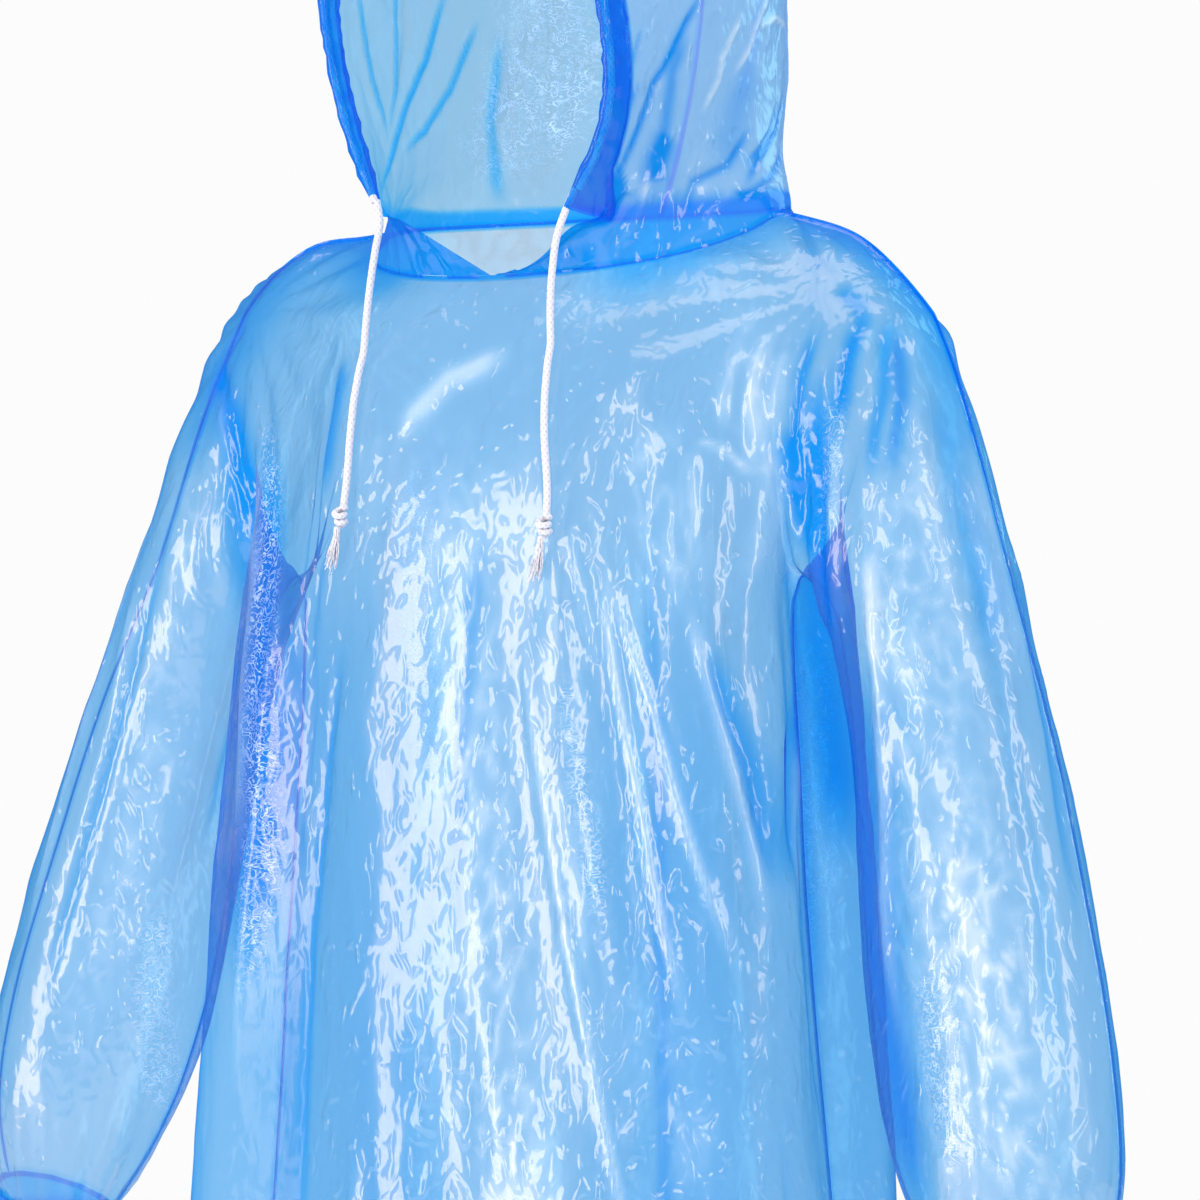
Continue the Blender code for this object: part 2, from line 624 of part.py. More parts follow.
def add_turned(name, middles, radii, finish, collection, sides=10):
    """A solid of round sections along a line, closed at both ends."""
    middles, radii = np.asarray(middles), np.asarray(radii)
    run = unit(np.gradient(middles, axis=0))
    across = unit(np.cross(run, (0, 1, 0)))
    up = np.cross(across, run)
    angle = np.arange(sides) / sides * 2 * math.pi
    ring = np.cos(angle)[:, None] * across[:, None] + np.sin(angle)[:, None] * up[:, None]
    points = (middles[:, None] + ring * radii[:, None, None]).reshape(-1, 3)
    number = np.arange(len(points)).reshape(len(middles), sides)
    after = np.roll(number, -1, axis=1)
    walls = np.stack([number[:-1], after[:-1], after[1:], number[1:]], axis=-1)
    faces = [*walls.reshape(-1, 4)[:, ::-1], number[0], number[-1][::-1]]
    return add_mesh(name, points, faces, finish, collection)


def wrapped_quads(rings, sides):
    number = np.arange(rings * sides).reshape(rings, sides)
    after = np.roll(number, -1, axis=1)
    corners = [number[:-1], number[1:], after[1:], after[:-1]]
    return np.stack(corners, axis=-1).reshape(-1, 4)


# ---- The garment ---------------------------------------------------------------------------------------
def build_panels(film, collection):
    """The front and back panels, with the sleeves cut in one. Returns the front one."""
    grids = {side: full_panel(side) for side in (FRONT, BACK)}
    rows, columns = grids[FRONT].shape[:2]
    quads = {FRONT: quads_of(grids[FRONT]), BACK: quads_of(grids[BACK], flip=True)}
    flat = {side: grids[side].reshape(-1, 3) for side in grids}
    smooth = shared_normals([(flat[side], quads[side]) for side in (FRONT, BACK)])
    for side, normal in zip((FRONT, BACK), smooth):
        off_welds = distance_from_welds(rows, columns)
        height = fold_heights(grids[side], side) * off_welds
        height += armhole_heights(rows, columns, side)
        height += hem_heights(rows, columns, side, grids[side][..., 2])
        flat[side] = flat[side] + normal * height.reshape(-1, 1)
    folded = shared_normals([(flat[side], quads[side]) for side in (FRONT, BACK)])
    pieces = []
    for name, side, normal in zip(
        ("front_panel", "back_panel"), (FRONT, BACK), folded
    ):
        apart = np.array([0, side * SEAM_GAP / 2 * 1.3, 0])
        outer = flat[side] + normal * WALL / 2 + apart
        inner = flat[side] - normal * WALL / 2 + apart
        pieces.append(add_wall(name, outer, inner, quads[side], film, collection))
    return pieces[0]


def build_hood(film, collection):
    left = hood_half()
    right = mirrored(left)
    surfaces = [
        (left.reshape(-1, 3), quads_of(left, flip=True)),
        (right.reshape(-1, 3), quads_of(right)),
    ]
    normals = shared_normals(surfaces)
    for name, away, (points, quads), normal in zip(
        ("hood_panel_left", "hood_panel_right"), (1, -1), surfaces, normals
    ):
        apart = np.array([away * SEAM_GAP / 2 * 1.3, 0, 0])
        outer = points + normal * WALL / 2 + apart
        inner = points - normal * WALL / 2 + apart
        add_wall(name, outer, inner, quads, film, collection)


def build_casing(film, collection):
    """The tube of film round the face opening."""
    edge, behind, out = rim_frames()
    middle = edge + behind * CASING_WIDTH / 2
    angle = np.arange(CASING_SIDES) / CASING_SIDES * 2 * math.pi
    cosine, sine = np.cos(angle), np.sin(angle)
    across = np.sign(cosine) * np.abs(cosine) ** 0.8
    through = np.sign(sine) * np.abs(sine) ** 0.8
    skins = []
    for less in (0, WALL):
        wide = across * (CASING_WIDTH / 2 - less)
        thick = through * (CASING_THICKNESS / 2 - less)
        skin = (
            middle[:, None]
            + behind[:, None] * wide[None, :, None]
            + out[:, None] * thick[None, :, None]
        )
        skins.append(skin.reshape(-1, 3))
    quads = wrapped_quads(len(middle), CASING_SIDES)
    add_wall("hood_casing", skins[0], skins[1], quads, film, collection)


def build_cuffs(film, collection):
    """An elasticated band at each sleeve's end, with its frill."""
    outer, inner, depth = (part[0] for part in sleeve_section(np.array([1.0])))
    middle, half = (outer + inner) / 2, (outer - inner) / 2
    axis = unit(np.array(CUFF_AXIS))
    table = columns_of(CUFF_SECTIONS, CUFF_COLUMNS)
    angle = np.arange(CUFF_DIVISIONS) / CUFF_DIVISIONS * 2 * math.pi
    wave = np.sin(CUFF_WAVES * angle + 0.6 * np.sin(3 * angle))
    size = table["size"][:, None] + table["wave"][:, None] * wave / np.linalg.norm(half)
    deep = np.array([0, -depth, 0])
    ring = half * np.cos(angle)[:, None] + deep * np.sin(angle)[:, None]
    along = axis * (table["along"] + 0.0012)[:, None, None]
    points = middle + along + ring * size[..., None]
    quads = wrapped_quads(*size.shape)
    for name, skin in (("cuff_left", points), ("cuff_right", mirrored(points))):
        skin = skin.reshape(-1, 3)
        faces = quads if name == "cuff_left" else quads[:, ::-1]
        normal = shared_normals([(skin, faces)])[0]
        outer_skin, inner_skin = skin + normal * WALL / 2, skin - normal * WALL / 2
        add_wall(name, outer_skin, inner_skin, faces, film, collection)


def even_path(points, spacing):
    steps = np.linalg.norm(np.diff(points, axis=0), axis=1)
    knots = np.append(0, np.cumsum(steps))
    count = max(2, round(knots[-1] / spacing) + 1)
    return spline(knots, points, np.linspace(0, knots[-1], count))


def in_front(points, tree, clearance):
    """The points, each moved to lie at least the clearance in front of the front panel."""
    moved = np.array(points, float)
    clearance = np.broadcast_to(clearance, len(moved))
    for point, clear in zip(moved, clearance):
        hit = tree.ray_cast((point[0], -1, point[2]), (0, 1, 0))[0]
        if hit is not None:
            point[1] = min(point[1], hit.y - clear)
    return moved


def build_drawstring(cotton, front_panel, collection):
    """The cord in its casing, and at each end a free length with a knot and a frayed tail."""
    edge, behind, out = rim_frames()
    run = edge + behind * CORD_INSET
    add_cord("drawstring_run", run, cotton, collection)
    mesh = front_panel.data
    corners = [tuple(v.co) for v in mesh.vertices]
    tree = BVHTree.FromPolygons(corners, [tuple(p.vertices) for p in mesh.polygons])
    for side, table, end, inner in (
        ("left", CORD_LEFT, run[0], run[1]),
        ("right", CORD_RIGHT, run[-1], run[-2]),
    ):
        ahead = unit(end - inner)
        start = end + ahead * 0.0005
        falls = np.array(table)
        path = even_path(np.vstack([start + ahead * 0.006, falls]), 0.0125)
        path = in_front(path, tree, CORD_DIAMETER / 2 + 0.0015)
        path[-1, 1] = min(path[-1, 1], path[-2, 1] - 0.0030)
        add_cord(f"drawstring_end_{side}", np.vstack([start, path]), cotton, collection)
        down = unit(path[-1] - path[-2])
        knot_shares = np.array([0, 0.12, 0.3, 0.42, 0.52, 0.7, 0.88, 1.0])
        knot_radii = np.array([0.60, 0.90, 1.0, 0.90, 0.98, 1.0, 0.84, 0.56])
        knot = path[-1] + down * (0.0005 + KNOT_LENGTH * knot_shares)[:, None]
        add_turned(f"knot_{side}", knot, knot_radii * KNOT_RADIUS, cotton, collection)
        sway = np.array([-0.20 if side == "left" else -0.12, 0, 0])
        shares = np.linspace(0, 1, 6)[:, None]
        turn = down + (np.array([0, 0, -1]) - down) * shares**0.5 + sway * shares**1.5
        tail = knot[-1] + down * 0.0007 + turn * TAIL_LENGTH * shares
        top = CORD_DIAMETER / 2 * 0.85
        radii = top + (TAIL_TIP_RADIUS - top) * np.array(TAIL_FLARE)
        tail[1:] = in_front(tail[1:], tree, radii[1:] + 0.0012)
        add_turned(f"tail_{side}", tail, radii, cotton, collection)


def main():
    for old in list(bpy.data.objects):
        bpy.data.objects.remove(old)
    collection = bpy.data.collections.new("rain_poncho")
    bpy.context.scene.collection.children.link(collection)
    film = material("blue_film", (0.10, 0.42, 0.90), 0.18, alpha=0.6)
    band = material("casing_film", (0.03, 0.28, 0.80), 0.22, alpha=0.8)
    cotton = material("white_cord", (0.90, 0.87, 0.88), 0.75)
    front_panel = build_panels(film, collection)
    build_hood(film, collection)
    build_casing(band, collection)
    build_cuffs(band, collection)
    build_drawstring(cotton, front_panel, collection)


main()
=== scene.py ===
"""The looks of a hooded rain poncho of thin blue film: the film's creases, crinkles and welds, its
drawstring, and a plain pale studio.

Lengths are in metres. The front faces -Y, +Z is up, and the origin is the middle of the neck's base.
"""

import math

import bmesh
import bpy
import numpy as np
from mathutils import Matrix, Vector, noise
from mathutils.bvhtree import BVHTree
from mathutils.kdtree import KDTree


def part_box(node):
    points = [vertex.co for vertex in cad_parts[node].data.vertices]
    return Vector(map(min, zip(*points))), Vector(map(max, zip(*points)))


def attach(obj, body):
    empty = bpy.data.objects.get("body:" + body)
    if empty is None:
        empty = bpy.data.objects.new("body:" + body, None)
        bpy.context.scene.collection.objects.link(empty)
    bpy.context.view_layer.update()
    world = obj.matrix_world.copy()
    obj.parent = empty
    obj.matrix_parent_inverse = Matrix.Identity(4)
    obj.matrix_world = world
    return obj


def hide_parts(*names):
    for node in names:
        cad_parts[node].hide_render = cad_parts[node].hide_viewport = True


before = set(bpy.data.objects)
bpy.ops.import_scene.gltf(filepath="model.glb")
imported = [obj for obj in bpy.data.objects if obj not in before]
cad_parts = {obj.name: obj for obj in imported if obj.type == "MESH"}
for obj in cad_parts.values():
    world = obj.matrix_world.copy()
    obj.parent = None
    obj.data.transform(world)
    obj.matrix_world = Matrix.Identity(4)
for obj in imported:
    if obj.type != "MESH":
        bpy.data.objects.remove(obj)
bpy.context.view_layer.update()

# ---- Camera --------------------------------------------------------------------------------------------
CAMERA_AZIMUTH = math.radians(32)  # from straight in front, towards the wearer's left
CAMERA_DISTANCE = 3.0
CAMERA_ASIDE = 0.02
CAMERA_Z = -0.27
CAMERA_LENS = 126.0  # on a sensor 36 mm wide

# ---- Sizes ---------------------------------------------------------------------------------------------
WALL = 0.0012  # thickness of the solids' walls
FLANGE = 0.0026  # width of a weld's flange, which stands proud of the garment
WELD_SHADE = 0.0030  # how far from a weld the film looks doubled
NECK_HALF_WIDTH = 0.165
NECK_FRONT_Z = -0.055  # the neck's lowest place, in front
SHOULDER_Z = -0.16  # the foot of the shoulders' gathered film
HEM_Z = -1.08
FLOOR_Z = -1.45  # the wearer's floor
ARMHOLE = (0.235, -0.060)  # x and z of the armholes' middles
UNDERARM = (0.225, -0.235)  # x and z of the underarms
CUFF_MIDDLE = (0.406, -0.083, -0.718)  # the left sleeve's middle where its elastic draws it in
ELASTIC_Z = -0.729
FRILL_Z = -0.74  # below this is the cuffs' free edge
FRONT, BACK, EITHER = -1, 1, 0
LEFT, RIGHT = 1, -1

# The drawstring's free ends, from below the casing to the knot
CORD_DIAMETER = 0.0052
CORD_LEFT = (
    (0.0750, -0.1280, -0.0075),
    (0.0712, -0.1315, -0.0230),
    (0.0690, -0.1335, -0.0440),
    (0.0688, -0.1360, -0.0680),
    (0.0712, -0.1390, -0.0960),
    (0.0760, -0.1420, -0.1300),
    (0.0815, -0.1420, -0.1660),
    (0.0862, -0.1420, -0.1980),
    (0.0868, -0.1420, -0.2140),
)
CORD_RIGHT = (
    (-0.0775, -0.1280, -0.0070),
    (-0.0785, -0.1315, -0.0230),
    (-0.0812, -0.1335, -0.0450),
    (-0.0830, -0.1360, -0.0700),
    (-0.0835, -0.1390, -0.0980),
    (-0.0815, -0.1420, -0.1290),
    (-0.0792, -0.1420, -0.1600),
    (-0.0785, -0.1420, -0.1900),
    (-0.0796, -0.1420, -0.2060),
)

# Creases of the front and back panels: half width, height (below 0 is a trough), shade (above 0 the folded
# film is painted darker, partly as painted shade and partly as doubled film; below 0 it is a painted
# highlight), then the x and z of points along it.
PANEL_CREASES = (
    # the chest's slanting highlight and the long folds that run down and out from it
    (FRONT, 0.0090, 0.0034, -0.90, (-0.045, -0.159), (-0.010, -0.119), (0.044, -0.098)),
    (FRONT, 0.0050, 0.0030, -0.30, (0.096, -0.215), (0.115, -0.270), (0.130, -0.322)),
    (FRONT, 0.0034, 0.0030, -0.95, (0.120, -0.236), (0.140, -0.337), (0.167, -0.454), (0.192, -0.565)),
    (FRONT, 0.0034, 0.0030, -0.90, (0.121, -0.239), (0.164, -0.343), (0.199, -0.454), (0.222, -0.527)),
    (FRONT, 0.0036, 0.0034, -0.85, (0.177, -0.260), (0.199, -0.337), (0.221, -0.425), (0.233, -0.499)),
    (FRONT, 0.0060, -0.0050, 0.55, (0.190, -0.292), (0.218, -0.382), (0.234, -0.471)),
    (FRONT, 0.0036, 0.0026, -0.70, (0.063, -0.263), (0.112, -0.500), (0.153, -0.662), (0.175, -0.860)),
    (FRONT, 0.0060, -0.0040, 0.40, (-0.076, -0.278), (-0.098, -0.448), (-0.107, -0.572),
     (-0.112, -0.760)),
    # the wearer's left armhole
    (FRONT, 0.0040, -0.0040, 0.75, (0.235, -0.087), (0.231, -0.122), (0.230, -0.152), (0.229, -0.180)),
    (FRONT, 0.0040, -0.0030, 0.60, (0.237, -0.056), (0.255, -0.071), (0.266, -0.092)),
    (FRONT, 0.0050, -0.0050, 0.95, (0.260, -0.078), (0.259, -0.122), (0.259, -0.157)),
    (FRONT, 0.0060, 0.0030, -0.60, (0.258, -0.157), (0.261, -0.190), (0.265, -0.230)),
    (FRONT, 0.0040, -0.0030, 0.65, (0.271, -0.074), (0.280, -0.105), (0.285, -0.132),
     (0.284, -0.157), (0.288, -0.195)),
    (FRONT, 0.0060, 0.0030, -0.60, (0.291, -0.234), (0.297, -0.265), (0.304, -0.318)),
    (FRONT, 0.0050, 0.0030, -0.50, (0.212, -0.147), (0.212, -0.186), (0.212, -0.210), (0.209, -0.270)),
    (FRONT, 0.0090, -0.0030, 0.95, (0.235, -0.188), (0.238, -0.206), (0.241, -0.226)),
    (FRONT, 0.0030, 0.0020, -0.70, (0.172, -0.171), (0.178, -0.165), (0.188, -0.168),
     (0.201, -0.182), (0.210, -0.187)),
    (FRONT, 0.0030, 0.0020, -0.50, (0.172, -0.171), (0.179, -0.212), (0.180, -0.243)),
    (FRONT, 0.0045, 0.0026, -0.60, (0.204, -0.087), (0.202, -0.139), (0.208, -0.180)),
    (FRONT, 0.0040, 0.0022, -0.50, (0.190, -0.098), (0.186, -0.130), (0.188, -0.160)),
    (FRONT, 0.0040, 0.0022, -0.45, (0.218, -0.100), (0.215, -0.128), (0.217, -0.150)),
    # the wearer's left sleeve
    (FRONT, 0.0045, 0.0028, -0.40, (0.329, -0.171), (0.343, -0.212), (0.362, -0.267), (0.383, -0.328)),
    (FRONT, 0.0060, 0.0036, -0.50, (0.290, -0.204), (0.307, -0.335), (0.311, -0.466), (0.330, -0.580)),
    (FRONT, 0.0050, -0.0030, 0.35, (0.303, -0.122), (0.320, -0.161), (0.341, -0.223),
     (0.358, -0.269), (0.375, -0.322)),
    (FRONT, 0.0050, -0.0030, 0.12, (0.333, -0.190), (0.379, -0.335), (0.415, -0.463), (0.452, -0.620)),
    # the wearer's right armhole and sleeve
    (FRONT, 0.0110, -0.0040, 0.80, (-0.280, -0.083), (-0.245, -0.134), (-0.228, -0.181),
     (-0.224, -0.225)),
    (FRONT, 0.0045, 0.0024, -0.60, (-0.262, -0.109), (-0.240, -0.168), (-0.214, -0.224)),
    (FRONT, 0.0080, 0.0030, -0.45, (-0.214, -0.148), (-0.200, -0.200), (-0.184, -0.252),
     (-0.172, -0.367), (-0.172, -0.480)),
    (FRONT, 0.0050, -0.0036, 0.50, (-0.243, -0.062), (-0.262, -0.090), (-0.272, -0.130)),
    (FRONT, 0.0050, 0.0034, -0.40, (-0.300, -0.170), (-0.335, -0.270), (-0.372, -0.400),
     (-0.400, -0.540)),
    (FRONT, 0.0050, -0.0034, 0.35, (-0.285, -0.190), (-0.310, -0.310), (-0.345, -0.450),
     (-0.380, -0.600)),
    (FRONT, 0.0050, 0.0030, -0.30, (-0.315, -0.230), (-0.330, -0.360), (-0.360, -0.480)),
    (FRONT, 0.0050, 0.0034, -0.30, (-0.140, -0.240), (-0.152, -0.400), (-0.170, -0.640)),
    (FRONT, 0.0060, 0.0036, -0.25, (-0.050, -0.620), (-0.056, -0.820), (-0.050, -1.000)),
    (FRONT, 0.0060, -0.0040, 0.35, (0.050, -0.700), (0.066, -0.880), (0.072, -1.060)),
    (FRONT, 0.0060, 0.0040, -0.30, (0.205, -0.640), (0.222, -0.840), (0.230, -1.030)),
    # the back, and the sleeves behind
    (BACK, 0.0060, -0.0040, 0.35, (0.012, -0.180), (0.020, -0.420), (0.018, -0.760), (0.026, -1.060)),
    (BACK, 0.0050, 0.0036, -0.30, (0.050, -0.140), (0.070, -0.330), (0.078, -0.560)),
    (BACK, 0.0050, 0.0036, -0.30, (-0.062, -0.130), (-0.080, -0.360), (-0.088, -0.700)),
    (BACK, 0.0055, -0.0040, 0.45, (0.130, -0.180), (0.145, -0.330), (0.160, -0.600)),
    (BACK, 0.0055, -0.0040, 0.45, (-0.128, -0.200), (-0.142, -0.360), (-0.150, -0.560)),
    (BACK, 0.0050, 0.0036, -0.35, (0.185, -0.150), (0.196, -0.260), (0.206, -0.420)),
    (BACK, 0.0050, 0.0036, -0.35, (-0.180, -0.140), (-0.194, -0.270), (-0.200, -0.450)),
    (BACK, 0.0050, -0.0040, 0.70, (0.236, -0.080), (0.240, -0.130), (0.238, -0.190)),
    (BACK, 0.0050, -0.0040, 0.70, (-0.236, -0.085), (-0.238, -0.140), (-0.236, -0.195)),
    (BACK, 0.0045, 0.0030, -0.45, (0.256, -0.110), (0.262, -0.170), (0.266, -0.225)),
    (BACK, 0.0045, 0.0030, -0.45, (-0.254, -0.105), (-0.262, -0.180), (-0.264, -0.230)),
    (BACK, 0.0050, 0.0034, -0.35, (0.300, -0.190), (0.330, -0.330), (0.360, -0.480)),
    (BACK, 0.0050, -0.0034, 0.35, (0.320, -0.180), (0.360, -0.320), (0.400, -0.500)),
    (BACK, 0.0050, 0.0034, -0.35, (-0.305, -0.200), (-0.334, -0.350), (-0.372, -0.520)),
    (BACK, 0.0050, -0.0034, 0.35, (-0.290, -0.200), (-0.312, -0.340), (-0.340, -0.470)),
    (BACK, 0.0060, 0.0038, -0.30, (0.110, -0.640), (0.116, -0.860), (0.124, -1.040)),
    (BACK, 0.0060, 0.0038, -0.30, (-0.150, -0.660), (-0.160, -0.860), (-0.158, -1.020)),
)

# Soft tones of the panels, as for the creases but with no height: above 0 a painted shade in the armpits,
# along the sleeves' inner sides and over the body, which also stands for film seen through more layers;
# below 0 a painted highlight.
PANEL_TONES = (
    (FRONT, 0.030, -0.75, (-0.006, -0.120), (0.014, -0.220), (0.030, -0.330), (0.052, -0.460),
     (0.078, -0.670), (0.1, -0.86)),
    (FRONT, 0.022, -0.40, (0.062, -0.150), (0.088, -0.283), (0.105, -0.376), (0.135, -0.600)),
    (FRONT, 0.020, -0.60, (0.148, -0.140), (0.154, -0.195), (0.168, -0.235), (0.180, -0.290)),
    (FRONT, 0.018, -0.50, (0.184, -0.060), (0.200, -0.110), (0.214, -0.160), (0.220, -0.220)),
    (FRONT, 0.022, -0.60, (0.290, -0.100), (0.310, -0.170), (0.340, -0.300), (0.371, -0.412),
     (0.425, -0.640)),
    (FRONT, 0.016, -0.40, (0.301, -0.180), (0.317, -0.335), (0.332, -0.464), (0.362, -0.640)),
    (FRONT, 0.020, -0.50, (-0.266, -0.120), (-0.270, -0.240), (-0.301, -0.387), (-0.330, -0.533),
     (-0.380, -0.680)),
    (FRONT, 0.012, -0.50, (-0.196, -0.130), (-0.212, -0.242), (-0.217, -0.345), (-0.224, -0.520)),
    (FRONT, 0.026, -0.35, (0.150, -0.500), (0.180, -0.585), (0.205, -0.680)),
    (FRONT, 0.028, -0.80, (0.355, -0.400), (0.385, -0.500), (0.412, -0.600), (0.440, -0.720)),
    (FRONT, 0.012, 1.00, (0.226, -0.150), (0.231, -0.190), (0.238, -0.215), (0.246, -0.250)),
    (FRONT, 0.016, 0.70, (-0.236, -0.100), (-0.226, -0.226), (-0.218, -0.330), (-0.216, -0.400),
     (-0.250, -0.560)),
    (FRONT, 0.010, 0.90, (0.240, -0.110), (0.250, -0.200), (0.256, -0.260), (0.262, -0.330)),
    (FRONT, 0.013, 0.65, (0.258, -0.280), (0.268, -0.350), (0.284, -0.420), (0.304, -0.510),
     (0.330, -0.600), (0.365, -0.720)),
    (FRONT, 0.016, 0.85, (-0.206, -0.130), (-0.168, -0.225), (-0.150, -0.320), (-0.146, -0.430),
     (-0.158, -0.560)),
    (FRONT, 0.040, 0.16, (-0.150, -0.150), (-0.120, -0.340), (-0.130, -0.600), (-0.130, -0.980)),
    (FRONT, 0.060, 0.12, (-0.030, -0.400), (-0.030, -0.700), (-0.020, -1.060)),
    (FRONT, 0.050, 0.12, (0.170, -0.300), (0.200, -0.600), (0.210, -1.000)),
    (BACK, 0.008, 0.80, (0.209, -0.200), (0.2105, -0.245), (0.2125, -0.297), (0.218, -0.345),
     (0.223, -0.400), (0.229, -0.460)),
    (BACK, 0.010, 0.70, (0.242, -0.300), (0.252, -0.350), (0.264, -0.430), (0.279, -0.540),
     (0.293, -0.605), (0.318, -0.720)),
    (BACK, 0.010, 0.50, (-0.242, -0.300), (-0.262, -0.430), (-0.286, -0.580), (-0.316, -0.720)),
    (BACK, 0.080, 0.14, (0.020, -0.200), (0.020, -0.600), (0.020, -1.060)),
    (BACK, 0.050, 0.16, (0.200, -0.200), (0.200, -0.600), (0.210, -1.060)),
    (BACK, 0.050, 0.16, (-0.200, -0.200), (-0.200, -0.600), (-0.210, -1.060)),
    (BACK, 0.028, -1.20, (-0.160, -0.006), (-0.135, -0.004), (-0.100, -0.002), (-0.060, -0.004)),
    (BACK, 0.034, -0.45, (0.060, -0.140), (0.080, -0.330), (0.100, -0.700)),
    (BACK, 0.024, -0.40, (-0.080, -0.140), (-0.100, -0.360), (-0.120, -0.740)),
    (BACK, 0.020, -0.45, (0.270, -0.120), (0.310, -0.300), (0.380, -0.600)),
    (BACK, 0.020, -0.45, (-0.270, -0.120), (-0.310, -0.300), (-0.380, -0.600)),
)

# Patches of painted glints on the panels, pale squiggles for the light on very fine crinkles: half width,
# strength, then the x and z of points
PANEL_PAINTED_GLINTS = (
    (FRONT, 0.014, 0.90, (-0.208, -0.120), (-0.172, -0.215), (-0.154, -0.320), (-0.146, -0.430),
     (-0.156, -0.580)),
    (FRONT, 0.010, 0.55, (-0.296, -0.480), (-0.299, -0.560), (-0.301, -0.620), (-0.303, -0.680)),
    (FRONT, 0.014, 0.45, (0.350, -0.500), (0.368, -0.580), (0.390, -0.660)),
    (FRONT, 0.007, 0.40, (0.100, -0.300), (0.112, -0.360), (0.128, -0.440), (0.140, -0.520)),
    (FRONT, 0.008, 0.35, (0.256, -0.130), (0.258, -0.190), (0.260, -0.240)),
    (BACK, 0.016, 0.45, (0.180, -0.150), (0.168, -0.260), (0.160, -0.400), (0.168, -0.560)),
    (BACK, 0.016, 0.60, (-0.176, -0.150), (-0.170, -0.280), (-0.164, -0.440)),
)

# Creases of the hood's sides, as for the panels, with the y and z of points along them
HOOD_CREASES = (
    (LEFT, 0.0034, -0.0026, 0.85, (-0.030, 0.160), (-0.062, 0.117), (-0.084, 0.081), (-0.091, 0.054),
     (-0.101, 0.018), (-0.101, -0.012)),
    (LEFT, 0.0022, 0.0018, -0.90, (-0.054, 0.128), (-0.064, 0.115), (-0.077, 0.093), (-0.084, 0.068)),
    (LEFT, 0.0022, 0.0016, -0.90, (-0.078, 0.028), (-0.077, 0.001), (-0.080, -0.012), (-0.085, -0.025),
     (-0.088, -0.040)),
    (LEFT, 0.0030, -0.0018, 0.60, (0.022, 0.064), (-0.011, 0.032), (-0.042, 0.019), (-0.048, 0.007),
     (-0.050, -0.006)),
    (LEFT, 0.0022, 0.0016, -0.80, (0.010, 0.142), (-0.016, 0.106), (-0.019, 0.091), (-0.029, 0.074),
     (-0.036, 0.062)),
    (LEFT, 0.0022, 0.0016, -0.80, (0.056, 0.166), (0.026, 0.132), (0.021, 0.120), (0.004, 0.102),
     (-0.006, 0.092)),
    (LEFT, 0.0020, 0.0014, -0.80, (0.030, 0.132), (0.040, 0.136), (0.059, 0.143), (0.083, 0.142),
     (0.094, 0.138)),
    (LEFT, 0.0026, -0.0016, 0.75, (0.082, 0.100), (0.075, 0.083), (0.057, 0.062), (0.021, 0.040),
     (-0.010, 0.012)),
    (LEFT, 0.0022, -0.0014, 0.60, (0.070, 0.090), (0.048, 0.063), (0.012, 0.038), (0.002, 0.028)),
    (LEFT, 0.0026, -0.0016, 0.65, (0.066, 0.056), (0.056, 0.044), (0.018, 0.024), (-0.018, 0.006)),
    (LEFT, 0.0024, -0.0014, 0.60, (-0.016, 0.014), (0.005, 0.011), (0.006, -0.006)),
    (LEFT, 0.0022, 0.0014, -0.80, (-0.014, 0.016), (-0.022, 0.008), (-0.037, -0.003), (-0.045, -0.015),
     (-0.054, -0.020), (-0.070, -0.034)),
    (LEFT, 0.0022, -0.0014, 0.50, (-0.098, 0.084), (-0.103, 0.070), (-0.110, 0.040)),
    (LEFT, 0.0022, -0.0014, 0.50, (-0.102, 0.120), (-0.107, 0.104), (-0.114, 0.070)),
    (LEFT, 0.0040, -0.0024, 0.50, (-0.060, 0.200), (-0.030, 0.240), (0.010, 0.280)),
    (LEFT, 0.0030, 0.0020, -0.60, (-0.080, 0.180), (-0.050, 0.230), (-0.010, 0.270)),
    (RIGHT, 0.0030, -0.0022, 0.75, (0.040, 0.190), (0.012, 0.126), (-0.021, 0.086), (-0.049, 0.047),
     (-0.090, 0.010)),
    (RIGHT, 0.0028, -0.0020, 0.65, (0.076, 0.166), (0.044, 0.107), (0.009, 0.074), (-0.030, 0.052)),
    (RIGHT, 0.0026, -0.0018, 0.55, (-0.094, 0.170), (-0.071, 0.102), (-0.055, 0.075), (-0.046, 0.060)),
    (RIGHT, 0.0026, -0.0018, 0.50, (-0.040, 0.230), (-0.030, 0.160), (-0.034, 0.100), (-0.050, 0.060)),
    (RIGHT, 0.0024, 0.0016, -0.60, (-0.020, 0.200), (-0.014, 0.140), (-0.030, 0.090)),
    (RIGHT, 0.0024, 0.0016, -0.70, (0.120, 0.170), (0.108, 0.120), (0.088, 0.070)),
    (RIGHT, 0.0024, 0.0016, -0.60, (0.140, 0.110), (0.126, 0.070), (0.100, 0.030)),
    (RIGHT, 0.0040, -0.0026, 0.45, (0.090, 0.020), (0.084, 0.090), (0.094, 0.160)),
    (EITHER, 0.0030, 0.0020, -0.40, (0.120, 0.060), (0.130, 0.140), (0.132, 0.230)),
    (EITHER, 0.0030, -0.0020, 0.45, (0.150, 0.080), (0.160, 0.160), (0.150, 0.260)),
)

# Soft tones of the hood's sides, painted shade and painted highlights as for the panels
HOOD_TONES = (
    (LEFT, 0.0060, 0.60, (-0.052, 0.126), (-0.067, 0.092), (-0.069, 0.046), (-0.078, 0.010)),
    (LEFT, 0.0110, 0.70, (-0.064, 0.052), (-0.072, 0.030), (-0.076, 0.010)),
    (LEFT, 0.0140, 0.28, (0.024, 0.110), (0.000, 0.062), (-0.018, 0.024)),
    (RIGHT, 0.0200, -0.60, (0.135, 0.205), (0.116, 0.136), (0.098, 0.097), (0.070, 0.040)),
    (RIGHT, 0.0120, -0.50, (0.155, 0.170), (0.130, 0.099), (0.114, 0.060), (0.092, 0.012)),
)
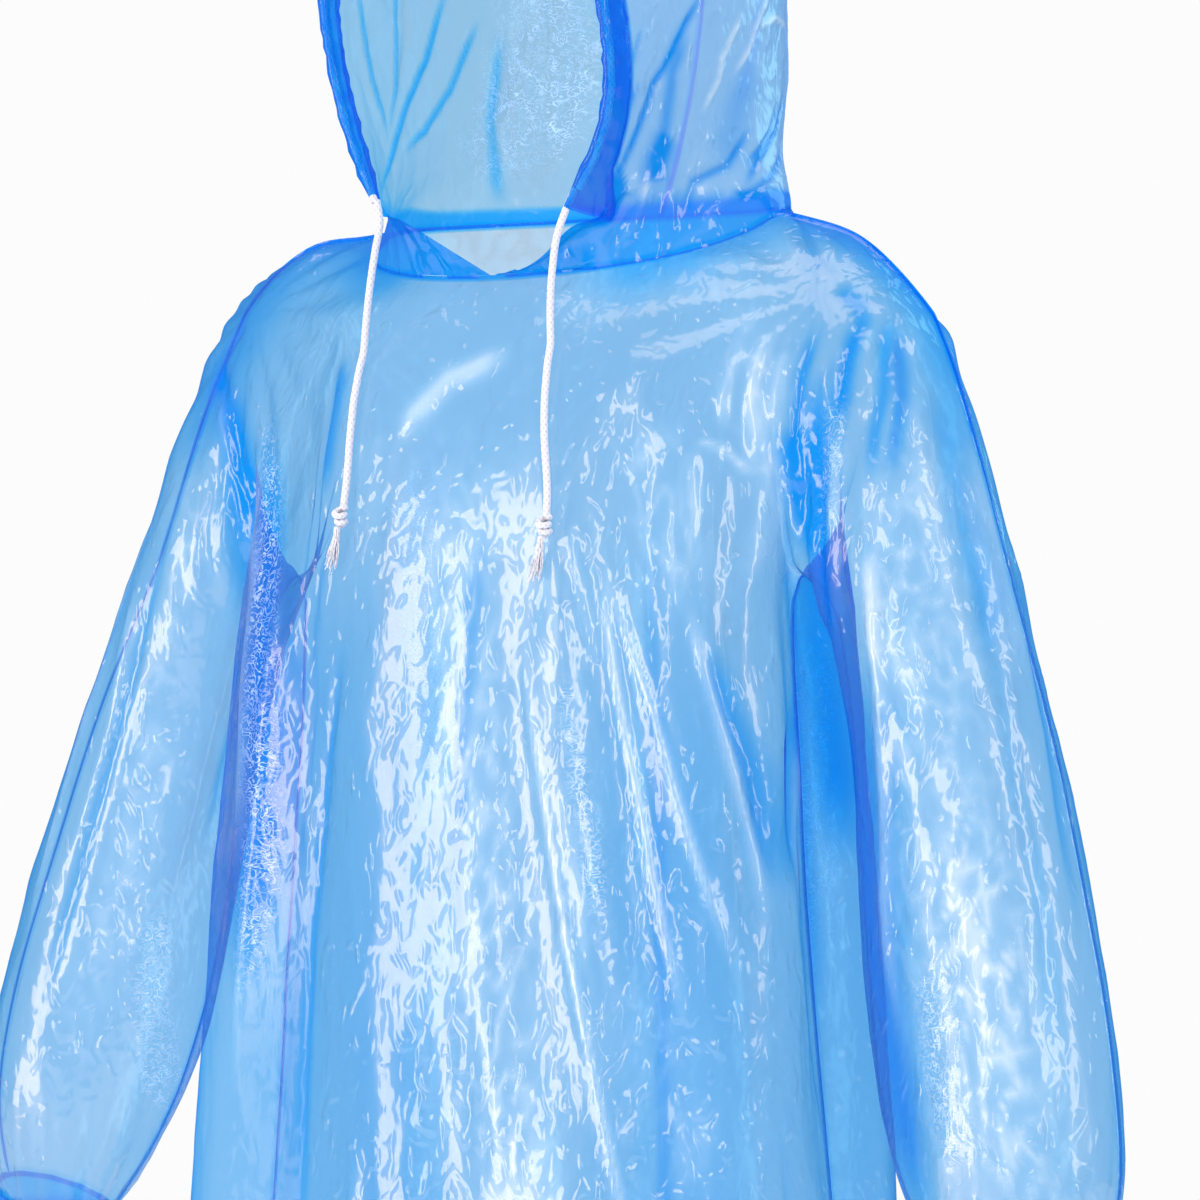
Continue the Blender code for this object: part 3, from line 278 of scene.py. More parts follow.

# Patches of painted glints on the hood's sides, as for the panels
HOOD_PAINTED_GLINTS = (
    (RIGHT, 0.022, 0.90, (0.140, 0.230), (0.118, 0.150), (0.098, 0.097), (0.066, 0.030)),
    (RIGHT, 0.014, 0.75, (0.160, 0.180), (0.134, 0.110), (0.110, 0.050)),
)

NOTCH_Z = (-0.045, 0.011)  # the notch's foot and top
NOTCH_Y = -0.094  # the notch lies in front of this
FLAP_SAG = (0.006, 0.0, -0.016)  # how far the flap beside the notch hangs open on the left

# The casing's ends: how far each reaches past its solid, how far it draws in, and how its rear edge spreads
# into the flap beside the notch
CASING_ENDS_Z = (0.0106, 0.0330)
CASING_ENDS = (
    (LEFT, 0.0150, 0.10, (0.010, 0.015, -0.002)),
    (RIGHT, 0.0045, 0.60, (0.0, 0.0, 0.0)),
)
HOOD_BAND = 0.017  # width of the doubled film along the notch under the chin
HOOD_FOOT = (0.014, 0.050)  # how high the gathered film above the neck is darker, at the back and in front

# The front panel's low right side is smooth and hardly shines: where that fades out in x and in z
MATT_OUTER_X = (-0.30, -0.27)
MATT_INNER_X = (-0.07, -0.12)
MATT_Z = (-0.40, -0.60)

WELD_TONES = (0.22, 0.85)  # how dark the doubled film at a weld looks, low on the garment and high on it
WELD_TONES_Z = (-0.27, -0.07)
CREASE_FADE = (0.22, 0.72)  # shares of a crease's length where it has come in and where it starts to go out

# ---- Colours -------------------------------------------------------------------------------------------
WARM_GLOSS = (1.0, 0.72, 0.46, 1)  # shows nearly white against the film's blue
HIGHLIGHT_PAINT = (0.80, 0.83, 0.80, 1)  # colour of the painted highlights, on crinkled film as if it caught the light
SHADE_PAINT_BEHIND = (0.44, 0.60, 0.78, 1)  # painted shade: the greyer, darker tint of film with painted highlights, seen from behind
FOLDED = (0.26, 0.78, 0.97, 1)  # what light passes through folded film
# Colours of the painted glints, on plain film and on darker film
GLINT = (0.80, 0.86, 0.94, 1)
GLINT_IN_SHADE = (0.50, 0.56, 0.92, 1)


# ---- Helpers -------------------------------------------------------------------------------------------
def smoothstep(low, high, value):
    share = np.clip((value - low) / (high - low), 0.0, 1.0)
    return share * share * (3.0 - 2.0 * share)


def read_rows(items, what):
    """One attribute of three numbers of all the items, as rows."""
    out = np.empty(len(items) * 3, np.float32)
    items.foreach_get(what, out)
    return out.reshape(-1, 3).astype(float)


def read_points(mesh):
    return read_rows(mesh.vertices, "co")


def write_points(mesh, points):
    mesh.vertices.foreach_set("co", np.asarray(points, np.float32).ravel())
    mesh.update()


def write_tone(mesh, name, values):
    """Stores a tone from 0 to 1 at each point for the materials."""
    layer = mesh.attributes.new(name, "FLOAT", "POINT")
    layer.data.foreach_set("value", np.full(len(mesh.vertices), values, np.float32).clip(0, 1))


def tree_of(points):
    tree = KDTree(len(points))
    for i, point in enumerate(points):
        tree.insert(point, i)
    tree.balance()
    return tree


def spread(points, tree):
    """Distance from each point to the nearest one in the tree."""
    return np.array([tree.find(p)[2] for p in points])


def noise_at(points, size, stretch=1.0, seed=0.0):
    """Smooth noise from -1 to 1 at each point, in lumps of that size, longer along Z by the stretch."""
    scaled = points / size
    scaled[:, 2] /= stretch
    return np.array([noise.noise((x + seed, y, z)) for x, y, z in scaled])


def ridges_at(points, size, stretch=1.0, seed=0.0):
    """Sharp-crested noise from 0 to 1."""
    return (1 - np.abs(noise_at(points, size, stretch, seed)) * 2.2).clip(0, 1) ** 2


def along_line(places, line):
    """Distance of each flat place from a line of points, and how far along the line it is, from 0 to 1."""
    line = np.array(line, float)
    steps = np.linalg.norm(np.diff(line, axis=0), axis=1)
    starts = np.append(0, np.cumsum(steps))
    best = np.full(len(places), np.inf)
    share = np.zeros(len(places))
    for a, b, start, step in zip(line, line[1:], starts, steps):
        on = np.clip((places - a) @ (b - a) / step**2, 0, 1)
        off = np.linalg.norm(places - (a + on[:, None] * (b - a)), axis=1)
        closer = off < best
        best = np.where(closer, off, best)
        share = np.where(closer, (start + on * step) / starts[-1], share)
    return best, share


def add_creases(places, creases):
    """Height, shade and painted highlight that a table of creases adds at each flat place."""
    height, shade, painted_highlight = (np.zeros(len(places)) for _ in range(3))
    risen, falling = CREASE_FADE
    for half_width, rise, dark, *line in creases:
        off, share = along_line(places, line)
        fade = smoothstep(0, risen, share) * (1 - smoothstep(falling, 1, share))
        crest = (1 + (off / half_width) ** 2) ** -1.5 * fade
        height += rise * crest
        tone = np.exp(-((off / half_width) ** 2)) * fade
        shade += max(dark, 0) * tone
        painted_highlight += max(-dark, 0) * tone
    return height, shade, painted_highlight


def add_tones(places, tones):
    """Shade and painted highlight that a table of tones adds at each flat place."""
    _, shade, painted_highlight = add_creases(places, [(half_width, 0, *rest) for half_width, *rest in tones])
    return shade, painted_highlight


def add_painted_glints(places, patches):
    """Strength of the painted glints at each flat place."""
    return add_tones(places, [(half_width, -strength, *line) for half_width, strength, *line in patches])[1]


def rows_for(table, *sides):
    """The rows of a table that are for these sides, without the side."""
    return [row[1:] for row in table if row[0] in sides]


# ---- Materials -----------------------------------------------------------------------------------------
class Nodes:
    """Short calls for building a node tree."""

    def __init__(self, name):
        self.material = bpy.data.materials.new(name)
        self.material.use_nodes = True
        self.tree = self.material.node_tree
        self.tree.nodes.clear()

    def add(self, kind, settings=None, **inputs):
        node = self.tree.nodes.new(kind)
        for key, value in (settings or {}).items():
            setattr(node, key, value)
        for key, value in inputs.items():
            key = int(key[1:]) if key[0] == "i" and key[1:].isdigit() else key.replace("_", " ")
            self.plug(node.inputs[key], value)
        return node

    def plug(self, socket, value):
        if isinstance(value, bpy.types.Node):
            value = value.outputs[0]
        if isinstance(value, bpy.types.NodeSocket):
            self.tree.links.new(value, socket)
        else:
            socket.default_value = value

    def maths(self, operation, first, second=0.0, third=0.0, clamp=False):
        settings = {"operation": operation, "use_clamp": clamp}
        return self.add("ShaderNodeMath", settings, i0=first, i1=second, i2=third)

    def blend(self, share, first, second):
        node = self.tree.nodes.new("ShaderNodeMix")
        node.data_type = "RGBA"
        self.plug(node.inputs["Factor"], share)
        self.plug(node.inputs["A"], first)
        self.plug(node.inputs["B"], second)
        return node.outputs["Result"]

    def attribute(self, name):
        node = self.tree.nodes.new("ShaderNodeAttribute")
        node.attribute_name = name
        return node.outputs["Fac"]


def film_material(name, thin, body, deep, opacity, filling, polish):
    """Thin glossy film that tints what is behind it, and more so where it is folded or seen on edge.

    Its meshes carry four tones: shade (film that is folded or doubled, partly painted shade), a painted
    highlight where crinkles would catch the light, painted glints on very fine crinkles, and matt (no
    shine).
    """
    n = Nodes(name)
    shade, painted_highlight, painted_glint, matt = (n.attribute(key) for key in ("shade", "painted_highlight", "painted_glint", "matt"))
    where = n.add("ShaderNodeTexCoord").outputs["Object"]
    tall = n.add("ShaderNodeMapping", i0=where, Scale=(1.0, 1.0, 0.62))
    ridged = {"noise_type": "RIDGED_MULTIFRACTAL", "normalize": True}
    grain = {"Scale": 90, "Detail": 2, "Roughness": 0.66, "Distortion": 0.6}
    crinkle = n.add("ShaderNodeTexNoise", ridged, Vector=tall, **grain)
    bump = n.add("ShaderNodeBump", Strength=1.0, Distance=0.0024, Height=crinkle)
    facing = n.add("ShaderNodeLayerWeight", Blend=0.5).outputs["Facing"]
    inside = n.add("ShaderNodeNewGeometry").outputs["Backfacing"]

    edge = n.maths("POWER", facing, 5.0)
    depth = n.maths("MULTIPLY_ADD", edge, 0.7, shade, clamp=True)
    # painted shade: seen from behind, film with a painted highlight tints greyer and darker
    inner_painted_shade = n.maths("MULTIPLY", painted_highlight, inside)
    base = n.blend(inner_painted_shade, (*thin, 1), SHADE_PAINT_BEHIND)
    base = n.blend(depth, base, FOLDED)
    tint = n.add("ShaderNodeGamma", Color=base, Gamma=n.maths("MULTIPLY_ADD", depth, 3.2, 1.0))
    clear = n.add("ShaderNodeBsdfTransparent", Color=tint)
    tone = n.blend(depth, (*body, 1), (*deep, 1))
    # painted highlight: where its tone is, the film turns pale and more opaque from outside
    colour = n.blend(painted_highlight, tone, HIGHLIGHT_PAINT)
    solid = n.add("ShaderNodeBsdfPrincipled", Base_Color=colour, Roughness=0.5, Normal=bump)
    solid.inputs["Specular IOR Level"].default_value = 0.1
    lit = n.maths("MULTIPLY", painted_highlight, n.maths("MULTIPLY_ADD", inside, -0.9, 1.0))
    share = n.maths("MULTIPLY_ADD", lit, 0.36, opacity, clamp=True)
    share = n.maths("MULTIPLY_ADD", depth, filling, share, clamp=True)
    mixed = n.add("ShaderNodeMixShader", i0=share, i1=clear, i2=solid)

    soft = n.add("ShaderNodeBsdfGlossy", Color=WARM_GLOSS, Roughness=0.30)
    soft = n.add("ShaderNodeMixShader", i0=shade, i1=soft, i2=clear)
    sharp = n.add("ShaderNodeBsdfGlossy", Color=WARM_GLOSS, Roughness=0.11, Normal=bump)
    shine = n.add("ShaderNodeMixShader", i0=0.55, i1=soft, i2=sharp)
    sheen = n.add("ShaderNodeFresnel", IOR=1.8, Normal=bump)
    sheen = n.maths("MINIMUM", sheen, 0.24)
    sheen = n.maths("MULTIPLY", sheen, n.maths("MULTIPLY_ADD", inside, -0.75 * polish, polish))
    sheen = n.maths("MULTIPLY", sheen, n.maths("SUBTRACT", 1.0, matt))
    mixed = n.add("ShaderNodeMixShader", i0=sheen, i1=mixed, i2=shine)

    # painted glints: pale squiggles where their tone is, lilac where the film is darker
    wide = n.add("ShaderNodeMapping", i0=where, Scale=(1.0, 1.0, 1.5))
    squiggle = n.add("ShaderNodeTexNoise", Vector=wide, Scale=108, Detail=1, Distortion=1.6)
    off = n.maths("ABSOLUTE", n.maths("SUBTRACT", squiggle, 0.5))
    glint = n.maths("MULTIPLY_ADD", off, -15.0, 1.0, clamp=True)
    pale = n.blend(shade, GLINT, GLINT_IN_SHADE)
    white = n.add("ShaderNodeBsdfPrincipled", Base_Color=pale, Roughness=0.4)
    crisp = n.add("ShaderNodeMixShader", i0=glint, i1=mixed, i2=white)
    mixed = n.add("ShaderNodeMixShader", i0=painted_glint, i1=mixed, i2=crisp)

    # its shadow is a plain tint, which saves render time
    shadow = n.add("ShaderNodeLightPath").outputs["Is Shadow Ray"]
    plain = n.add("ShaderNodeBsdfTransparent", Color=(*thin, 1))
    mixed = n.add("ShaderNodeMixShader", i0=shadow, i1=mixed, i2=plain)
    n.add("ShaderNodeOutputMaterial", Surface=mixed)
    return n.material


def cord_material():
    """Soft white braided cord."""
    n = Nodes("white_cord")
    where = n.add("ShaderNodeTexCoord").outputs["Object"]
    waves = {"wave_type": "BANDS", "bands_direction": "DIAGONAL"}
    one = n.add("ShaderNodeTexWave", waves, Vector=where, Scale=130, Distortion=1.2, Detail=2)
    flip = n.add("ShaderNodeMapping", i0=where, Scale=(-1, -1, 1))
    two = n.add("ShaderNodeTexWave", waves, Vector=flip, Scale=130, Distortion=1.2, Detail=2)
    braid = n.maths("MAXIMUM", one.outputs["Fac"], two.outputs["Fac"])
    fuzz = n.add("ShaderNodeTexNoise", Vector=where, Scale=900, Detail=2)
    height = n.maths("MULTIPLY_ADD", fuzz, 0.3, braid)
    bump = n.add("ShaderNodeBump", Strength=0.5, Distance=0.0006, Height=height)
    # painted shade: the cord is darker where the braid's bump is low, in its grooves
    colour = n.blend(braid, (0.52, 0.47, 0.49, 1), (0.70, 0.66, 0.68, 1))
    solid = n.add("ShaderNodeBsdfPrincipled", Base_Color=colour, Roughness=0.78, Normal=bump)
    solid.inputs["Sheen Weight"].default_value = 0.25
    n.add("ShaderNodeOutputMaterial", Surface=solid)
    return n.material


def floor_material():
    """Pale grey with a faint cloudiness."""
    n = Nodes("pale_floor")
    where = n.add("ShaderNodeTexCoord").outputs["Object"]
    cloud = n.add("ShaderNodeTexNoise", Vector=where, Scale=1.5, Detail=2)
    colour = n.blend(cloud, (0.86, 0.86, 0.86, 1), (0.90, 0.90, 0.90, 1))
    solid = n.add("ShaderNodeBsdfPrincipled", Base_Color=colour, Roughness=0.7)
    n.add("ShaderNodeOutputMaterial", Surface=solid)
    return n.material


# ---- Film ----------------------------------------------------------------------------------------------
def sheet_of(node, levels):
    """A node's wall as one thin sheet along its middle, in smooth quads."""
    solid = bmesh.new()
    solid.from_mesh(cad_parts[node].data)
    bmesh.ops.remove_doubles(solid, verts=solid.verts, dist=WALL / 50)
    rim = [f for f in solid.faces if min(e.calc_length() for e in f.edges) < 1.2 * WALL]
    bmesh.ops.delete(solid, geom=rim, context="FACES_ONLY")
    loose = [e for e in solid.edges if not e.link_faces]
    bmesh.ops.delete(solid, geom=loose, context="EDGES")
    skins = skins_of(solid)
    outer, inner = skins[0], skins[1]
    tree = tree_of([v.co for v in inner])
    for vertex in outer:
        other, _, _ = tree.find(vertex.co)
        vertex.co = (vertex.co + other) / 2
    bmesh.ops.delete(solid, geom=[v for skin in skins[1:] for v in skin], context="VERTS")
    bmesh.ops.join_triangles(
        solid,
        faces=solid.faces,
        angle_face_threshold=1.2,
        angle_shape_threshold=3.1,
        topology_influence=1.0,
    )
    bmesh.ops.recalc_face_normals(solid, faces=solid.faces)
    mesh = bpy.data.meshes.new(f"{node}_cage")
    solid.to_mesh(mesh)
    solid.free()
    cage = bpy.data.objects.new(f"{node}_cage", mesh)
    bpy.context.collection.objects.link(cage)
    smooth = cage.modifiers.new("smooth", "SUBSURF")
    smooth.levels = levels
    smooth.boundary_smooth = "PRESERVE_CORNERS"
    done = bpy.data.meshes.new_from_object(cage.evaluated_get(bpy.context.evaluated_depsgraph_get()))
    bpy.data.objects.remove(cage)
    done.shade_smooth()
    return done


def skins_of(solid):
    """The vertices of each separate skin, the one with the largest area first."""
    left = set(solid.verts)
    skins = []
    while left:
        edge = [left.pop()]
        skin = set(edge)
        while edge:
            vertex = edge.pop()
            for other in (e.other_vert(vertex) for e in vertex.link_edges):
                if other in left:
                    left.discard(other)
                    skin.add(other)
                    edge.append(other)
        skins.append(skin)
    areas = [sum(f.calc_area() for f in {f for v in skin for f in v.link_faces}) for skin in skins]
    order = np.argsort(areas)[::-1]
    return [skins[i] for i in order]


def free_edge(mesh):
    """Numbers of the vertices on the mesh's free edges."""
    shape = bmesh.new()
    shape.from_mesh(mesh)
    numbers = [v.index for v in shape.verts if v.is_boundary]
    shape.free()
    return np.array(numbers)


def crumple(points):
    """A small shift of every point, the same for all pieces, which leaves no surface quite smooth."""
    shift = np.stack([noise_at(points, 0.055, 1.8, seed) for seed in (3.1, 17.7, 41.3)], axis=-1)
    return shift * np.array([0.0012, 0.0016, 0.0006])


# Which places on a sheet's free edges are open and not welded
def is_hem(place):
    return place.z < HEM_Z + 0.02


def is_notch(place):
    low, high = NOTCH_Z
    return place.y < NOTCH_Y and place.z < high and (place.z > low + 0.002 or abs(place.x) < 0.012)


def is_frill(place):
    return place.z < FRILL_Z


def never(place):
    return False


def weld_tone(z):
    """How dark the doubled film at a weld looks: darkest where it is gathered at the neck and shoulders."""
    low, high = WELD_TONES
    return low + (high - low) * smoothstep(*WELD_TONES_Z, z)


def add_flanges(mesh, stays_open, width):
    """Strips of doubled film that stand out from the welds of a sheet, but not from its open edges."""
    shape = bmesh.new()
    shape.from_mesh(mesh)
    shade = shape.verts.layers.float["shade"]
    welds = [e for e in shape.edges if e.is_boundary]
    welds = [e for e in welds if not stays_open((e.verts[0].co + e.verts[1].co) / 2)]
    ways = {}
    for edge in welds:
        face = edge.link_faces[0]
        way = (edge.verts[1].co - edge.verts[0].co).cross(face.normal)
        if way.dot(face.calc_center_median() - edge.verts[0].co) > 0:
            way.negate()
        for vertex in edge.verts:
            key = tuple(vertex.co)
            ways[key] = ways.get(key, Vector()) + way.normalized()
    made = bmesh.ops.extrude_edge_only(shape, edges=welds)["geom"]
    for vertex in (item for item in made if isinstance(item, bmesh.types.BMVert)):
        way = ways[tuple(vertex.co)]
        upright = abs(vertex.co.x) < 0.004 and vertex.co.z > 0.03
        beside = abs(vertex.co.x) > NECK_HALF_WIDTH
        flat = Vector((0.1 if upright else 1, 0.1 if beside else 1, 1))
        vertex.co += (way * flat).normalized() * width
        vertex[shade] = weld_tone(vertex.co.z)
    shape.to_mesh(mesh)
    shape.free()


def dress(node, mesh, height, tones, material, stays_open=never, flange=FLANGE):
    """Moves a sheet's points by height along its normal and makes it the piece that shows."""
    shade = tones["shade"]
    points = read_points(mesh)
    edge = free_edge(mesh)
    welds = [i for i in edge if not stays_open(Vector(points[i]))]
    off_edge = spread(points, tree_of(points[edge]))
    off_weld = spread(points, tree_of(points[welds])) if welds else off_edge + 1
    inside = smoothstep(0.0, 0.022, off_edge)
    points = points + read_rows(mesh.vertex_normals, "vector") * (height * inside)[:, None]
    points = points + crumple(points)
    write_points(mesh, points)
    weld = 1 - smoothstep(WELD_SHADE * 0.3, WELD_SHADE, off_weld)
    write_tone(mesh, "shade", shade + weld_tone(points[:, 2]) * weld)
    # the painted highlight and painted glints, kept off the welds, and where the film does not shine
    write_tone(mesh, "painted_highlight", tones.get("painted_highlight", 0) * (1 - weld) * (1 - np.clip(shade, 0, 1)))
    write_tone(mesh, "painted_glint", tones.get("painted_glint", 0) * (1 - weld))
    write_tone(mesh, "matt", tones.get("matt", 0))
    if flange and welds:
        add_flanges(mesh, stays_open, flange)
    mesh.shade_smooth()
    mesh.materials.clear()
    mesh.materials.append(material)
    piece = bpy.data.objects.new(f"film_{node}", mesh)
    bpy.context.collection.objects.link(piece)
    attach(piece, "root")
    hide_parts(node)
    return piece


def panel_piece(node, side, material):
    """The front or the back, and the points of its edge round the neck."""
    mesh = sheet_of(node, 3)
    points = read_points(mesh)
    flat = points[:, [0, 2]]
    height, shade, painted_highlight = add_creases(flat, rows_for(PANEL_CREASES, side))
    soft_shade, soft_painted_highlight = add_tones(flat, rows_for(PANEL_TONES, side))
    seed = 5.0 + side
    # the tones' shade, partly painted shade, and their painted highlights broken into streaks; then painted
    # glints in patches
    shade += soft_shade
    painted_highlight += soft_painted_highlight * (0.35 + 0.8 * ridges_at(points, 0.013, 2.0, seed + 4))
    painted_glint = add_painted_glints(flat, rows_for(PANEL_PAINTED_GLINTS, side))
    painted_glint *= 0.45 + 0.75 * ridges_at(points, 0.016, 1.6, seed + 13)
    height += 0.0016 * (ridges_at(points, 0.075, 2.6, seed) - 0.4)
    height += 0.0006 * (ridges_at(points, 0.026, 2.2, seed + 9) - 0.4)
    height += armpit_puckers(points)
    height += cuff_gathers(points)
    x, z = points[:, 0], points[:, 2]
    matt = 0.8 * smoothstep(*MATT_INNER_X, x) * smoothstep(*MATT_OUTER_X, x) * smoothstep(*MATT_Z, z)
    if side == BACK:
        matt = 0
    edge = points[free_edge(mesh)]
    # painted shade along the tops of the shoulders and, in front, beside the neck
    start = 0.10 if side == FRONT else NECK_HALF_WIDTH
    top = edge[(edge[:, 2] > SHOULDER_Z) & (np.abs(edge[:, 0]) > start)]
    shade += 0.55 * np.exp(-((spread(points, tree_of(top)) / 0.028) ** 2)) * smoothstep(-0.2, -0.1, z)
    neck = edge[(edge[:, 2] > NECK_FRONT_Z) & (np.abs(edge[:, 0]) < NECK_HALF_WIDTH)]
    tones = {"shade": shade, "painted_highlight": painted_highlight, "painted_glint": painted_glint, "matt": matt}
    return dress(node, mesh, height, tones, material, is_hem), neck


def armpit_puckers(points):
    """Short folds that fan out from the underarms and the armholes."""
    x, y, z = np.abs(points[:, 0]), points[:, 1], points[:, 2]
    across, up = x - ARMHOLE[0], z - ARMHOLE[1]
    turn = np.arctan2(up, across)
    far = np.hypot(up, across)
    fan = np.sin(15 * turn + 3 * np.sign(points[:, 0])) * np.exp(-(((far - 0.085) / 0.055) ** 2))
    low = np.exp(-(((z - UNDERARM[1]) / 0.07) ** 2) - ((x - UNDERARM[0]) / 0.05) ** 2)
    return 0.0016 * fan + 0.0018 * low * np.sin(x * 330 + 40 * y)


def cuff_gathers(points):
    """Gathers that run up a sleeve from its elastic."""
    x, z = np.abs(points[:, 0]), points[:, 2]
    middle_x, middle_y, middle_z = CUFF_MIDDLE
    up = (z - middle_z) * 0.99 + (x - middle_x) * -0.12
    turn = np.arctan2(points[:, 1] - middle_y, x - middle_x)
    wave = np.sin(17 * turn) + 0.6 * np.sin(11 * turn + 1.3)
    near = np.where(x > 0.30, np.exp(-np.maximum(up, 0) / 0.045), 0)
    return 0.0026 * wave * near


def hood_piece(node, side, neck, material):
    mesh = sheet_of(node, 3)
    points = read_points(mesh)
    flat = points[:, [1, 2]]
    height, shade, painted_highlight = add_creases(flat, rows_for(HOOD_CREASES, side, EITHER))
    soft_shade, soft_painted_highlight = add_tones(flat, rows_for(HOOD_TONES, side))
    low, high = HOOD_FOOT
    foot = low + (high - low) * smoothstep(0.06, -0.09, points[:, 1])
    up = spread(points, tree_of(neck)) / foot
    notch = [p for p in points[free_edge(mesh)] if is_notch(Vector(p))]
    band = spread(points, tree_of(notch)) / HOOD_BAND
    # the tones, partly painted shade, and 0.14 of painted shade over all the hood; then darker gathered
    # film above the neck and doubled film along the notch
    shade += soft_shade + 0.14
    shade += 0.75 * (1 - smoothstep(0.7, 1.1, up)) + 0.8 * (1 - smoothstep(0.9, 1.1, band))
    # painted glints in patches
    painted_glint = add_painted_glints(flat, rows_for(HOOD_PAINTED_GLINTS, side))
    painted_glint *= 0.3 + 0.9 * ridges_at(points, 0.016, 1.6, 23.0 + side)
    # a painted highlight over all the hood, pale from outside and a grey painted shade from inside, with
    # the tones' painted highlights in streaks
    painted_highlight += 0.65 + soft_painted_highlight * (0.25 + 0.9 * ridges_at(points, 0.011, 1.4, 61.0 + side))
    height += 0.0014 * (ridges_at(points, 0.055, 1.8, 31.0 + side) - 0.4)
    height += 0.0006 * (ridges_at(points, 0.020, 1.5, 47.0 + side) - 0.4)
    if side == LEFT:
        free = smoothstep(0.0, 0.009, up * foot)
        write_points(mesh, points + sag_of_flap(points, notch) * free[:, None])
    turn = np.arctan2(points[:, 0], points[:, 1] - 0.01)
    low = np.exp(-np.maximum(points[:, 2] + 0.02, 0) / 0.022)
    height += 0.0012 * low * np.sin(34 * turn + 2 * np.sin(5 * turn))
    tones = {"shade": shade, "painted_highlight": painted_highlight, "painted_glint": painted_glint}
    return dress(node, mesh, height, tones, material, is_notch)


def sag_of_flap(points, notch):
    """How far each point moves because the flap beside the notch hangs open."""
    low, high = NOTCH_Z
    along = np.clip((points[:, 2] - low) / (high - low), 0, 1)
    near = np.exp(-((spread(points, tree_of(notch)) / 0.013) ** 2))
    return (np.sin(math.pi * along) * near)[:, None] * np.array(FLAP_SAG)


def casing_piece(material):
    mesh = sheet_of("hood_casing", 2)
    points = read_points(mesh)
    low, high = CASING_ENDS_Z
    for side, reach, taper, flare in CASING_ENDS:
        end = (smoothstep(high, low, points[:, 2]) * (points[:, 0] * side > 0))[:, None]
        points += end * reach * np.array((-0.50 * side, -0.10, -0.86))
        ring = points[end[:, 0] > 0.99]
        points += end**2 * taper * (ring.mean(axis=0) - points)
        rear = smoothstep(ring[:, 1].min(), ring[:, 1].max(), points[:, 1])[:, None]
        points += end**2 * rear * np.array(flare)
    write_points(mesh, points)
    turn = np.arctan2(points[:, 0], points[:, 2] - 0.14)
    height = 0.0006 + 0.0006 * np.sin(60 * turn + 3 * np.sin(7 * turn))
    height += 0.0010 * ridges_at(points, 0.016, 1.0, 71.0)
    shade = 0.25 + 0.35 * ridges_at(points, 0.02, 1.0, 83.0)
    return dress("hood_casing", mesh, height, {"shade": shade}, material, flange=0)


def run_piece(material):
    """The drawstring's run in the casing, crumpled as the film round it is."""
    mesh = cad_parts["drawstring_run"].data.copy()
    points = read_points(mesh)
    write_points(mesh, points + crumple(points))
    mesh.materials.clear()
    mesh.materials.append(material)
    piece = bpy.data.objects.new("cord_run", mesh)
    bpy.context.collection.objects.link(piece)
    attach(piece, "root")
    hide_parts("drawstring_run")


def cuff_piece(node, material):
    mesh = sheet_of(node, 3)
    points = read_points(mesh)
    height = 0.0009 * (ridges_at(points, 0.010, 2.0, 91.0) - 0.4)
    elastic = np.exp(-(((points[:, 2] - ELASTIC_Z) / 0.006) ** 2))
    return dress(node, mesh, height, {"shade": 0.2 + 0.5 * elastic}, material, is_frill)


# ---- Drawstring ----------------------------------------------------------------------------------------
CORD_CLEARANCE = 0.0018  # between a free end and the film that it hangs in front of
KNOT_TURNS = 2.35
STRANDS = 26
STRAND_RADIUS = 0.00055
GOLDEN_ANGLE = 2.39996  # spreads the strands evenly


def smooth_path(points, spacing):
    """Points at about that spacing on a smooth curve through the given ones."""
    points = np.array(points, float)
    knots = np.append(0, np.cumsum(np.linalg.norm(np.diff(points, axis=0), axis=1)))
    slopes = np.gradient(points, knots, axis=0)
    at = np.linspace(0, knots[-1], max(2, round(knots[-1] / spacing) + 1))
    cell = np.clip(np.searchsorted(knots, at) - 1, 0, len(knots) - 2)
    width = (knots[cell + 1] - knots[cell])[:, None]
    t = (at - knots[cell])[:, None] / width
    start, end = points[cell], points[cell + 1]
    leave, arrive = slopes[cell] * width, slopes[cell + 1] * width
    return (
        (2 * t**3 - 3 * t**2 + 1) * start
        + (t**3 - 2 * t**2 + t) * leave
        + (3 * t**2 - 2 * t**3) * end
        + (t**3 - t**2) * arrive
    )


def add_tubes(name, paths, radius, material, roundness, taper=0.0):
    """Round tubes along the paths, as one piece; a taper thins them towards their ends."""
    curve = bpy.data.curves.new(name, "CURVE")
    curve.dimensions = "3D"
    curve.bevel_depth = radius
    curve.bevel_resolution = roundness
    curve.use_fill_caps = True
    for path in paths:
        line = curve.splines.new("POLY")
        line.points.add(len(path) - 1)
        for i, (point, place) in enumerate(zip(line.points, path)):
            point.co = (*place, 1)
            point.radius = 1 - taper * i / (len(path) - 1)
    curve.materials.append(material)
    piece = bpy.data.objects.new(name, curve)
    bpy.context.collection.objects.link(piece)
    return piece


def build_cord(side, table, skin, material):
    """One free end of the drawstring, with its knot and frayed tail."""
    path = smooth_path([cord_exit(side), *table], 0.004)
    for point in path[2:]:
        hit = skin.ray_cast((point[0], -1, point[2]), (0, 1, 0))[0]
        if hit is not None:
            point[1] = min(point[1], hit.y - CORD_DIAMETER / 2 - CORD_CLEARANCE)
    path[2:-1] = (path[1:-2] + 2 * path[2:-1] + path[3:]) / 4
    cord = add_tubes(f"cord_{side}", [path], CORD_DIAMETER / 2, material, 4)
    knot = build_knot(side, *np.array(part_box(f"knot_{side}")), material)
    tail = build_tail(side, *np.array(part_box(f"tail_{side}")), material)
    for piece in (cord, knot, tail):
        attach(piece, "root")
    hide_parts(f"drawstring_end_{side}")
    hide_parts(f"knot_{side}")
    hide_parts(f"tail_{side}")


